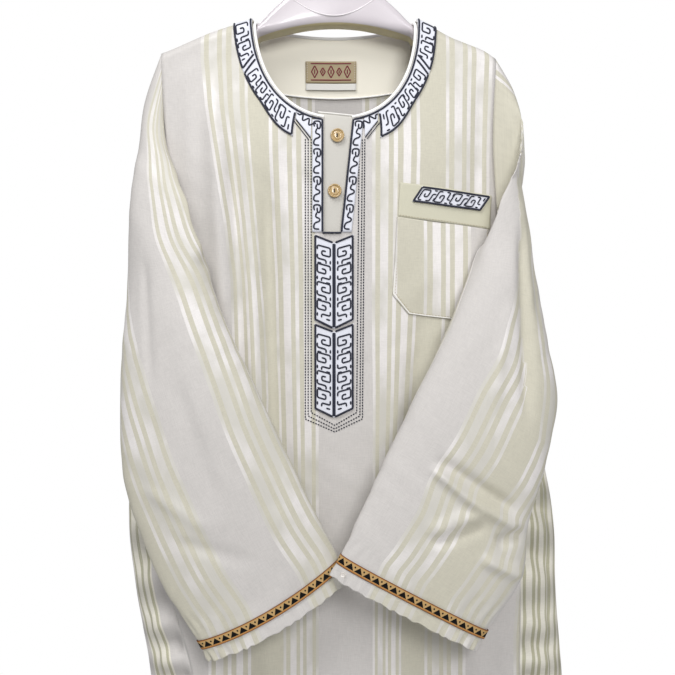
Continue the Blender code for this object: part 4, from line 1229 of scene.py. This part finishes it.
def band_place(side, share, out):
    """x and z on a neck band: share 0 at the shoulder and 1 at the slanted end of the lower panel.

    Across, 0 is the neck edge and 1 the outer edge, which flares over the lower panel.
    """
    first, last = BAND_ENDS[side]
    degrees = share * (first + (last - first) * out)
    wide = NECK_BAND + BAND_FLARE * smooth((degrees - 42) / 24)
    return off_neck(side, degrees, BAND_START + (wide - BAND_START) * out)


def make_neck_bands():
    """The backing cloth round the neck: a flared band, and a corner piece up to the placket."""
    share, out = np.linspace(0, 1, 110)[:, None] ** 1.3, np.linspace(0, 1, 9)
    for name, side in (("neck_band_left", 1), ("neck_band_right", -1)):
        x, z = band_place(side, share, out)
        end = neck_degrees(side, slit_top(side) + STRIP_WIDTH + SEAM)
        edge = neck_line(side, np.linspace(BAND_ENDS[side][0], end, 24), BAND_START)
        low = np.linspace(*CORNER_LINE[side], 24)
        corner = edge[:, None, :] + (low - edge)[:, None, :] * out[:, None]
        x, z = np.vstack([x, corner[..., 0]]), np.vstack([z, corner[..., 1]])
        keep = np.ones((len(x) - 1, x.shape[1] - 1), bool)
        keep[len(share) - 1] = False
        add_trim(name, x, z, keep=keep, flip=side > 0)


def make_neck_stitching():
    """Navy lines and meander on the neck band: an upper and a lower panel on each side."""
    lines, fine, close = [], [], []
    slant = np.linspace(0, 1, 12)
    for side in (1, -1):
        top = neck_degrees(side, slit_top(side) + 0.0008)
        edge = np.concatenate([np.linspace(0.4, 4, 14), np.linspace(4.5, top - 0.3, 90)])
        lines.append(neck_line(side, edge, 0.0016))
        for start, end, count in ((0.005, 0.355, 34), (0.395, 0.992, 60)):
            lines.append(np.stack(band_place(side, np.linspace(start, end, count), 0.965), axis=1))
        for start, end in ((0.300, 0.355), (0.345, 0.395), (0.990, 0.992)):
            rung = band_place(side, start + (end - start) * slant, 0.16 + 0.80 * slant)
            lines.append(np.stack(rung, axis=1))
        # Where each panel's meander starts, how far it goes, its width and its units
        for start, reach, across, wide, units in (
            (0.415, 0.545, 0.0210, 0.0136, 4),
            (0.030, 0.270, 0.0190, 0.0126, 2),
        ):

            def to_band(p, q):
                return band_place(side, start + reach * q, 0.56 + p / across)

            fine += meander(to_band, wide, 1.0, units, mirror=side < 0)
        # The corner's squiggle, and the two close rows along its lower edge
        start = neck_line(side, np.array([BAND_ENDS[side][0] + 1.5]), 0.0040)[0]
        run = np.array([side * (slit_top(side) + 0.0090), -0.2440]) - start
        t = np.linspace(0, 1, 60)[:, None]
        painted_sheen = 0.0026 * np.sin(math.tau * 2.8 * np.maximum(t - 0.15, 0))
        fine.append(start + run * t + unit(np.array([-run[1], run[0]])) * painted_sheen)
        a, b = CORNER_LINE[side]
        away = unit(np.array([b[1] - a[1], a[0] - b[0]])) * -side
        for off in (0.0006, 0.0030):
            close.append([a + away * off, b + away * off + (b - a) * 0.04])
    add_thread("neck_outline_stitching", lines, OUTLINE)
    add_thread("neck_meander_stitching", fine, **MEANDER)
    add_thread("neck_corner_stitching", close, 0.0009, lift=0.0009, tall=0.0005)


def make_placket():
    """Strips beside the slit, shield panels under it, their navy outlines and meanders."""
    z = np.linspace(SLIT_END_Z - 0.0005, SLIT_TOP_Z - 0.0015, 40)[:, None]
    for name, side in (("placket_strip_right", -1), ("placket_strip_left", 1)):
        x = side * (slit_edge(z, side) + np.linspace(SEAM, STRIP_WIDTH, 7))
        add_trim(name, x, z, flip=side < 0)
    across, down = np.linspace(-1, 1, 17), np.linspace(0, 1, 40)[:, None]
    lines, thick, fine = [], [], []
    for name, top in PANEL_TOPS.items():
        z = top - PANEL_TALL * down - PANEL_TIP * (1 - np.abs(across))
        add_trim(name, PANEL_MIDDLE + PANEL_HALF * across, z, flip=True)
        foot, tip = top - PANEL_TALL, top - PANEL_TIP
        for side in (-1, 1):
            edge = PANEL_MIDDLE + side * (PANEL_HALF - 0.0009)
            near = PANEL_MIDDLE + side * 0.0012
            lines.append([
                (near, tip + 0.0004),
                (edge, top - 0.0012),
                (edge, foot + 0.0012),
                (near, foot - PANEL_TIP + 0.0012),
            ])

            def to_panel(p, q):
                x = PANEL_MIDDLE + side * (0.0102 + p)
                return x, top - 0.0072 - q - PANEL_TIP * 0.5 + p * 0.28

            fine += meander(to_panel, 0.0134, 0.0730, 4)
        thick.append([(PANEL_MIDDLE, tip - 0.0006), (PANEL_MIDDLE, foot - PANEL_TIP + 0.0016)])
    edge_z = np.linspace(SLIT_END_Z - 0.0003, SLIT_TOP_Z - 0.001, 30)
    for side in (-1, 1):
        lines.append(np.stack([side * (slit_edge(edge_z, side) + 0.0011), edge_z], axis=1))

        def to_strip(p, q):
            z = SLIT_TOP_Z - 0.0025 - q
            return side * (slit_edge(z, side) + 0.0066 - p), z

        fine += meander(to_strip, 0.0092, 0.1120, 4, SHORT_STROKES, side > 0)
    lines.append([(-0.0121, SLIT_END_Z - 0.0012), (0.0071, SLIT_END_Z - 0.0012)])
    add_thread("placket_outline_stitching", lines, OUTLINE)
    add_thread("placket_centre_stitching", thick, 0.0034)
    add_thread("placket_meander_stitching", fine, **MEANDER)
    seams = []
    for left_x, right_x, tip_z in RUNNING_SEAMS:
        rim = tip_z + 0.0130
        up_right = (right_x + 0.0025, -0.2560)
        path = [(left_x, -0.2570), (left_x, rim), (0.0002, tip_z), (right_x, rim), up_right]
        seams += dashes(path, 0.0020, 0.0028)
    add_thread("placket_running_stitch", seams, 0.0015, lift=0.0005, tall=0.0005)


def make_underlap():
    """The layer behind the slit: a strip just under the front panel, bowed a little outwards.

    Its folded top edge stands above the neck edge and falls towards the left side.
    """
    s, t = np.linspace(0, 1, 44)[:, None], np.linspace(0, 1, 18)
    low, start = SLIT_END_Z - 0.006, -SLIT_LEFT - UNDERLAP_PAST
    at_top = start + t * (SLIT_RIGHT_TOP + SLIT_LEFT + UNDERLAP_WIDER)
    top = UNDERLAP_TOP_Z - 0.11 * (at_top + SLIT_LEFT)
    z = low + (top - low) * s
    x = start + t * (slit_edge(z, 1) + SLIT_LEFT + UNDERLAP_WIDER)
    bow = 0.0006 * np.sin(math.pi * t) * smooth((z - SLIT_END_Z) / 0.04)
    ripple = 0.0009 * np.sin(90 * x + 60 * z) * smooth((z - SLIT_TOP_Z + 0.05) / 0.05)
    points = np.stack([x, -depth(x, z) - SEAM + 0.0010 - bow - ripple, z], axis=-1)
    add_cloth("placket_underlap", points, "underlap")
    add_wire("underlap_folded_edge", points[-1] + np.array([0.0, -0.0003, 0.0002]), 0.0008, "white")


def pocket_place(across, down):
    """x and z on the chest pocket: across along its slanted top edge, and down below it."""
    return POCKET_LEFT + across - POCKET_SKEW * down, POCKET_TOP_Z - POCKET_LEAN * across - down


def on_pocket(path):
    """A path given across and down the pocket, as x and z."""
    return np.stack(pocket_place(*np.array(path).T), axis=1)


def patch_place(along, down):
    """x and z on the pocket's embroidered patch, whose ends slant."""
    return pocket_place(PATCH_START - PATCH_SLANT * down + along, down)


def make_pocket():
    """The chest pocket: top band, bag with cut corners, embroidered patch and edge stitching."""
    across = np.linspace(0, POCKET_WIDE, 50)
    bow = np.sin(math.pi * across / POCKET_WIDE)
    down = np.linspace(0, POCKET_BAND, 20)[:, None]
    off = 0.0014 + 0.0006 * bow * (1 - down / POCKET_BAND)
    add_cloth("pocket_band", on_front(*pocket_place(across, down), off), "cream", flip=True)
    down = np.linspace(0, POCKET_TALL, 60)[:, None]
    taper = np.clip((down - POCKET_TALL + POCKET_CORNER) / POCKET_CORNER, 0, 1) * POCKET_CORNER
    inside = taper + (across / POCKET_WIDE) * (POCKET_WIDE - 2 * taper)
    x, z = pocket_place(inside - 0.001, down + POCKET_BAND + SEAM)
    puff = 0.0012 * bow * np.sin(math.pi * down / POCKET_TALL)
    crease = 0.0010 * np.sin(across * 95 + 1.0) * smooth((0.07 - down) / 0.05)
    weave = np.stack([x + POCKET_WEAVE, z], axis=-1)
    add_cloth("pocket_bag", on_front(x, z, 0.0015 + puff + crease), "cloth", weave, flip=True)
    # The patch and its navy lines
    along, down = PATCH_WIDE * np.linspace(0, 1, 30), np.linspace(0.0015, 0.0180, 8)[:, None]
    add_trim("pocket_embroidery", *patch_place(along, down), 0.0030, flip=True)
    near, far, top, low = 0.0008, PATCH_WIDE - 0.0008, 0.0023, 0.0172
    box = np.array([(near, top), (far, top), (far, low), (near, low), (near, top)])
    outline = np.stack(patch_place(*box.T), axis=1)
    add_thread("pocket_outline_stitching", [outline], 0.0020, lift=0.0034, tall=0.0006)
    fine = meander(lambda p, q: patch_place(q + 0.0030, 0.0098 + p), 0.0112, PATCH_WIDE - 0.0060, 4)
    add_thread("pocket_meander_stitching", fine, 0.0014, lift=0.0033, tall=0.0005)
    # The bag's turned edge, and the stitches inside it and under the band
    rim, low = POCKET_WIDE - 0.0025, POCKET_TALL + POCKET_BAND - 0.0016
    cut = low - POCKET_CORNER
    bead = on_pocket([
        (0.0, POCKET_BAND + 0.001),
        (0.0, cut + 0.001),
        (POCKET_CORNER, low + 0.0012),
        (rim - POCKET_CORNER + 0.001, low + 0.0012),
        (rim + 0.0012, cut + 0.001),
    ])
    add_thread("pocket_turned_edge", [bead], 0.0014, "white", lift=0.0012, tall=0.0008)
    seam = on_pocket([
        (0.0015, POCKET_BAND),
        (0.0015, cut),
        (POCKET_CORNER + 0.001, low),
        (rim - POCKET_CORNER, low),
        (rim, cut),
        (rim, POCKET_BAND),
    ])
    top = on_pocket([(0.001, 0.0330), (POCKET_WIDE - 0.001, 0.0330)])
    stitches = dashes(seam, 0.0022, 0.0030) + dashes(top, 0.0022, 0.0030)
    add_thread("pocket_edge_stitching", stitches, 0.0005, "tan", lift=0.0019, tall=0.0003)


def make_facing():
    """The facing inside the back neck, cut crosswise, with its label and the size label."""
    x = NECK_HALF * math.cos(FACING_ANGLE) * np.linspace(-1, 1, 60)
    top = back_neck(x)
    z = top + (UNDERARM_Z - top) * FACING_SHARE * np.linspace(0, 1, 36)[:, None]
    add_cloth("back_neck_facing", back_inside(x, z, 0.0008), "facing", flip=True)
    seam = np.stack([x, z[-1] + 0.0004], axis=1)[2:-2]
    add_thread("facing_seam", [seam], 0.0018, "piping", back_inside, 0.0014, 0.0006)
    x, down = LABEL_MIDDLE + LABEL_WIDE * np.linspace(-0.5, 0.5, 24), np.linspace(0, 1, 12)[:, None]
    for name, look, top, tall in (
        ("label", "label", LABEL_TOP_Z, LABEL_TALL),
        ("size_label", "white", LABEL_TOP_Z - LABEL_TALL - 0.0003, LABEL_STRIP),
    ):
        points = back_inside(x, top - tall * down, LABEL_OFF)
        add_cloth(name, points, look, flip=True, thick=LABEL_THICK)
    motif = []
    mid = LABEL_TOP_Z - 0.0105
    for n in range(5):
        at = LABEL_MIDDLE + (n - 2) * 0.0088
        tall, wide = (0.0062, 0.0034) if n % 2 == 0 else (0.0042, 0.0026)
        tip, left, right = (at, mid + tall), (at - wide, mid), (at + wide, mid)
        motif.append([tip, right, (at, mid - tall), left, tip])
        motif.append([(at, mid + tall * 0.4), (at, mid - tall * 0.4)])
    for level in (LABEL_TOP_Z - 0.0022, LABEL_TOP_Z - 0.0190):
        motif.append([(LABEL_MIDDLE - 0.022, level), (LABEL_MIDDLE + 0.022, level)])
    add_thread("label_motif", motif, 0.0013, "maroon", back_inside, 0.0032, 0.0002)
    seams = []
    for side in (-1, 1):
        at = LABEL_MIDDLE + side * (LABEL_WIDE / 2 - 0.0016)
        ends = [(at, LABEL_TOP_Z - 0.001), (at, LABEL_TOP_Z - LABEL_TALL + 0.001)]
        seams += dashes(ends, 0.0016, 0.0024)
    add_thread("label_stitching", seams, 0.0005, "white", back_inside, 0.0032, 0.0003)


# Hard pieces and cords


def lathe(name, profile, place, normal, look, replaced=(), segments=72):
    """A turned piece: its profile of radius and height carried round an axis along the normal."""
    profile = np.array(profile, float)
    turn = np.linspace(0, math.tau, segments + 1)[:-1, None]
    axis = unit(np.array(normal, float))
    aside = unit(np.cross(axis, (1.0, 0.0, 0.0) if abs(axis[0]) < 0.9 else (0.0, 1.0, 0.0)))
    ring = np.cos(turn) * aside + np.sin(turn) * np.cross(axis, aside)
    radius = np.maximum(profile[:, 0], 1e-5)[:, None, None]
    points = np.array(place) + radius * ring + profile[:, 1, None, None] * axis
    add_grid(name, points, look, replaced, closed=True)


def make_buttons():
    """Shirt buttons: a raised round rim, a dished middle and two holes."""
    for number, (x, z) in enumerate(BUTTONS, 1):
        spot = np.array([x, -float(depth(x, z)) - SEAM - 0.0004, z])
        normal = (0.0, -1.0, 0.04)
        curve = np.array(BUTTON_CURVE) * (BUTTON_RADIUS, 0.001)
        lathe(f"button_{number}_disc", curve, spot, normal, "button", [f"button_{number}"])
        # Each hole is a small dark disc laid on the button, its colour painted shade
        for n, rise in enumerate((-1, 1), 1):
            hole = spot + np.array([-0.0004, -0.0016, rise * 0.0010])
            rim = [(0.0010, 0.0), (0.0010, 0.0002), (0.0007, 0.00025), (0, 0.0001)]
            lathe(f"button_{number}_hole_{n}", rim, hole, normal, "hole", segments=16)


def add_wire(name, points, radius, look, replaced=()):
    """A round cord or wire through points, its ends closed."""
    curve = bpy.data.curves.new(name, "CURVE")
    curve.dimensions = "3D"
    curve.bevel_depth = radius
    curve.bevel_resolution = 4
    curve.use_fill_caps = True
    line = curve.splines.new("POLY")
    line.points.add(len(points) - 1)
    line.points.foreach_set("co", np.hstack([points, np.ones((len(points), 1))]).ravel())
    place_piece(add_object(name, curve), look, replaced)


def make_piping():
    """Piping along the neck edge: up one side of the front, round the back and down the other.

    The joins at the shoulders are smoothed by six rounds of weighted means of neighbours.
    """

    def run(x, z, y, towards):
        into = unit(np.stack([-x, 0 * x, towards - z], axis=1))
        return np.stack([x, y, z], axis=1) + into * (PIPING + PIPING_GAP)

    def front_run(first, last):
        x, z = neck_point(np.linspace(first, last, 70))
        return run(x, z, -depth(x, z) - SEAM, NECK_Z - 0.02)

    x = np.linspace(NECK_HALF, -NECK_HALF, 60)[2:-2]
    z = back_neck(x)
    behind = run(x, z, depth(x, z, True) + SEAM, NECK_Z + 0.06)
    left, right = front_run(neck_angle(SLIT_RIGHT_TOP), 0), front_run(math.pi, neck_angle(-SLIT_LEFT))
    path = np.concatenate([left, behind, right])
    for _ in range(6):
        path[1:-1] = 0.25 * path[:-2] + 0.5 * path[1:-1] + 0.25 * path[2:]
    add_wire("neck_piping_cord", path, PIPING, "piping", ["neck_piping"])


def hanger_deep(x):
    """Half the hanger's depth, which grows outwards from a rounded middle."""
    return SHOULDER_DEPTH + SHOULDER_SPREAD * (np.hypot(x, 0.03) - 0.03) - HANGER_CLEAR


def make_hanger():
    """The moulded hanger: a section at each station along it, round its top and bottom heights."""
    half = np.linspace(0, HANGER_TIP, 90)
    stations = np.concatenate([-half[:0:-1], half])
    out = np.abs(stations)
    foot = math.exp(-((NECK_HALF / HUB_SPREAD) ** 2))
    bell = (np.exp(-((out / HUB_SPREAD) ** 2)) - foot) / (1 - foot)
    under = HANGER_UNDER + PIPING_ROOM * np.exp(-(((out - NECK_HALF) / 0.014) ** 2))
    top = np.where(out < NECK_HALF, NECK_Z + HUB_RISE * bell, ridge(stations)) - under
    arch = ARCH_Z - 0.0145 * (out / ARCH_HALF) ** 2
    arm = top - ARM_TALL - (HANGER_TALL - ARM_TALL) * (out - ARCH_HALF) / (HANGER_TIP - ARCH_HALF)
    bottom = np.where(out < ARCH_HALF, arch, arm)
    blunt = np.sqrt(np.clip((HANGER_TIP - out) / 0.010, 0.02, 1.0))
    centre, tall = (top + bottom) / 2, (top - bottom) / 2 * blunt
    around = np.linspace(0, math.tau, 65)[:-1]
    # Boxy at the hub and round under the cloth
    power = (2.0 + 2.6 * smooth((ARCH_HALF - out) / 0.03))[:, None]
    upward = bulged(np.cos(around), power)
    y = -bulged(np.sin(around), power) * (hanger_deep(stations) * blunt)[:, None]
    z = np.minimum(centre[:, None] + upward * tall[:, None], HUB_TOP_Z)
    points = np.stack([stations[:, None] + 0 * y, y, z], axis=-1)
    add_grid("hanger_moulding", points, "plastic", ["hanger_body"], closed=True)
    # A sheet a hair below the moulding's underside between the arms, coloured khaki as painted shade and
    # painted reflection of the cream cloth
    shade_sheet = points[out < 0.090][:, upward[0] < -0.78] - np.array([0.0, 0.0, 0.0003])
    add_grid("hanger_underside_shade_sheet", shade_sheet, "underside_shade")
    # The moulded ridge line, coloured lighter than the moulding as a painted highlight
    x = np.linspace(-0.046, 0.044, 60)
    rise = -0.1213 + 0.0158 * ((x + 0.001) / 0.0405) ** 2
    moulded = np.stack([x, 0.0002 - hanger_deep(x), rise], axis=1)
    add_wire("hanger_moulded_line", moulded, 0.0007, "highlight")


def make_hook():
    """A wire hook: up from the collar, out to one side, and over the top to its free end."""
    start_z = HUB_TOP_Z + 0.0066
    bend = HOOK_RADIUS + HOOK_WIRE
    join = math.radians(-62)
    end = np.array([bend * math.cos(join), -HOOK_RADIUS + bend * math.sin(join)])
    heading = np.array([-math.sin(join), math.cos(join)])
    first, lift = np.array([0, start_z + 0.004]), np.array([0, start_z + 0.016])
    t = np.linspace(0, 1, 24)[:-1, None]
    reach = end - heading * 0.010
    rise = first * (1 - t) ** 3 + lift * 3 * t * (1 - t) ** 2 + reach * 3 * t * t * (1 - t) + end * t**3
    a = np.linspace(join, math.radians(196), 70)
    loop = np.stack([bend * np.cos(a), -HOOK_RADIUS + bend * np.sin(a)], axis=1)
    flat = np.concatenate([[[0, start_z]], rise, loop])
    points = np.stack([flat[:, 0], 0 * flat[:, 0], flat[:, 1]], axis=1)
    add_wire("hook_wire", points, HOOK_WIRE, "steel", ["hanger_hook"])
    collar = np.array(COLLAR_CURVE) * (COLLAR_RADIUS, COLLAR_TALL)
    lathe("hook_collar", collar, (0, 0, HUB_TOP_Z + 0.0003), (0, 0, 1), "steel", ["hanger_collar"])


def make_stage():
    """A plain pale floor well under the hem, a soft key light, fill lights and a white sky."""
    mesh = bpy.data.meshes.new("studio_floor")
    corners = [(x * 1.4, y * 1.4, HEM_Z - 0.25) for x, y in ((-1, -1), (1, -1), (1, 1), (-1, 1))]
    mesh.from_pydata(corners, [], [(0, 1, 2, 3)])
    floor = add_object("studio_floor", mesh)
    pale, _, _ = new_look("pale_floor", Base_Color=linear("f0f0f0"), Roughness=0.9)
    mesh.materials.append(pale)
    world = bpy.data.worlds.new("studio")
    bpy.context.scene.world = world
    world.use_nodes = True
    tree = world.node_tree
    background = tree.nodes["Background"]
    background.inputs["Color"].default_value = (1.0, 1.0, 1.0, 1.0)
    # The backdrop is pure white, and the soft light from all round is weaker than it
    seen = node(tree, "ShaderNodeLightPath").outputs["Is Camera Ray"]
    tree.links.new(remap(tree, seen, 0.0, 1.0, 0.31, 1.0), background.inputs["Strength"])
    bpy.context.scene.view_settings.view_transform = "Standard"
    for name, spot, power, wide in (
        ("key", (-0.5, -1.0, 1.0), 19.0, 0.8),
        ("fill", (0.5, -2.1, 0.30), 24.0, 0.8),
        ("back_fill", (-0.3, 2.3, 0.40), 16.0, 1.2),
    ):
        light = bpy.data.lights.new(name, "AREA")
        light.energy = power
        light.size = wide
        lamp = add_object(name, light)
        lamp.location = spot
        away = np.array(spot) - np.array((0.0, 0.0, -0.45))
        across = math.atan2(away[0], -away[1])
        up = math.atan2(away[2], math.hypot(away[0], away[1]))
        lamp.rotation_euler = (math.pi / 2 - up, 0.0, across)
    camera = add_object("camera", bpy.data.cameras.new("camera"))
    camera.location = (0.003, -1.0, -0.456)
    camera.rotation_euler = (math.pi / 2, 0.0, 0.0)
    camera.data.sensor_width = 36.0
    camera.data.lens = 950 / 675 * 36.0
    bpy.context.scene.camera = camera


make_front()
make_back()
make_gore("side_gore_right", -1)
make_gore("side_gore_left", 1)
make_sleeve("sleeve_right", RIGHT_SLEEVE, -1, RIGHT_STRIPE, RIGHT_SLEEVE_CREASES)
make_sleeve("sleeve_left", LEFT_SLEEVE, 1, LEFT_STRIPE, LEFT_SLEEVE_CREASES)
make_neck_bands()
make_neck_stitching()
make_placket()
make_underlap()
make_buttons()
make_pocket()
make_facing()
make_piping()
make_hanger()
make_hook()
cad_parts["cuff_stud"].data.materials.clear()
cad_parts["cuff_stud"].data.materials.append(glossy("pearl_resin", "d8d2cc", 0.3, coat=0.4))
make_stage()
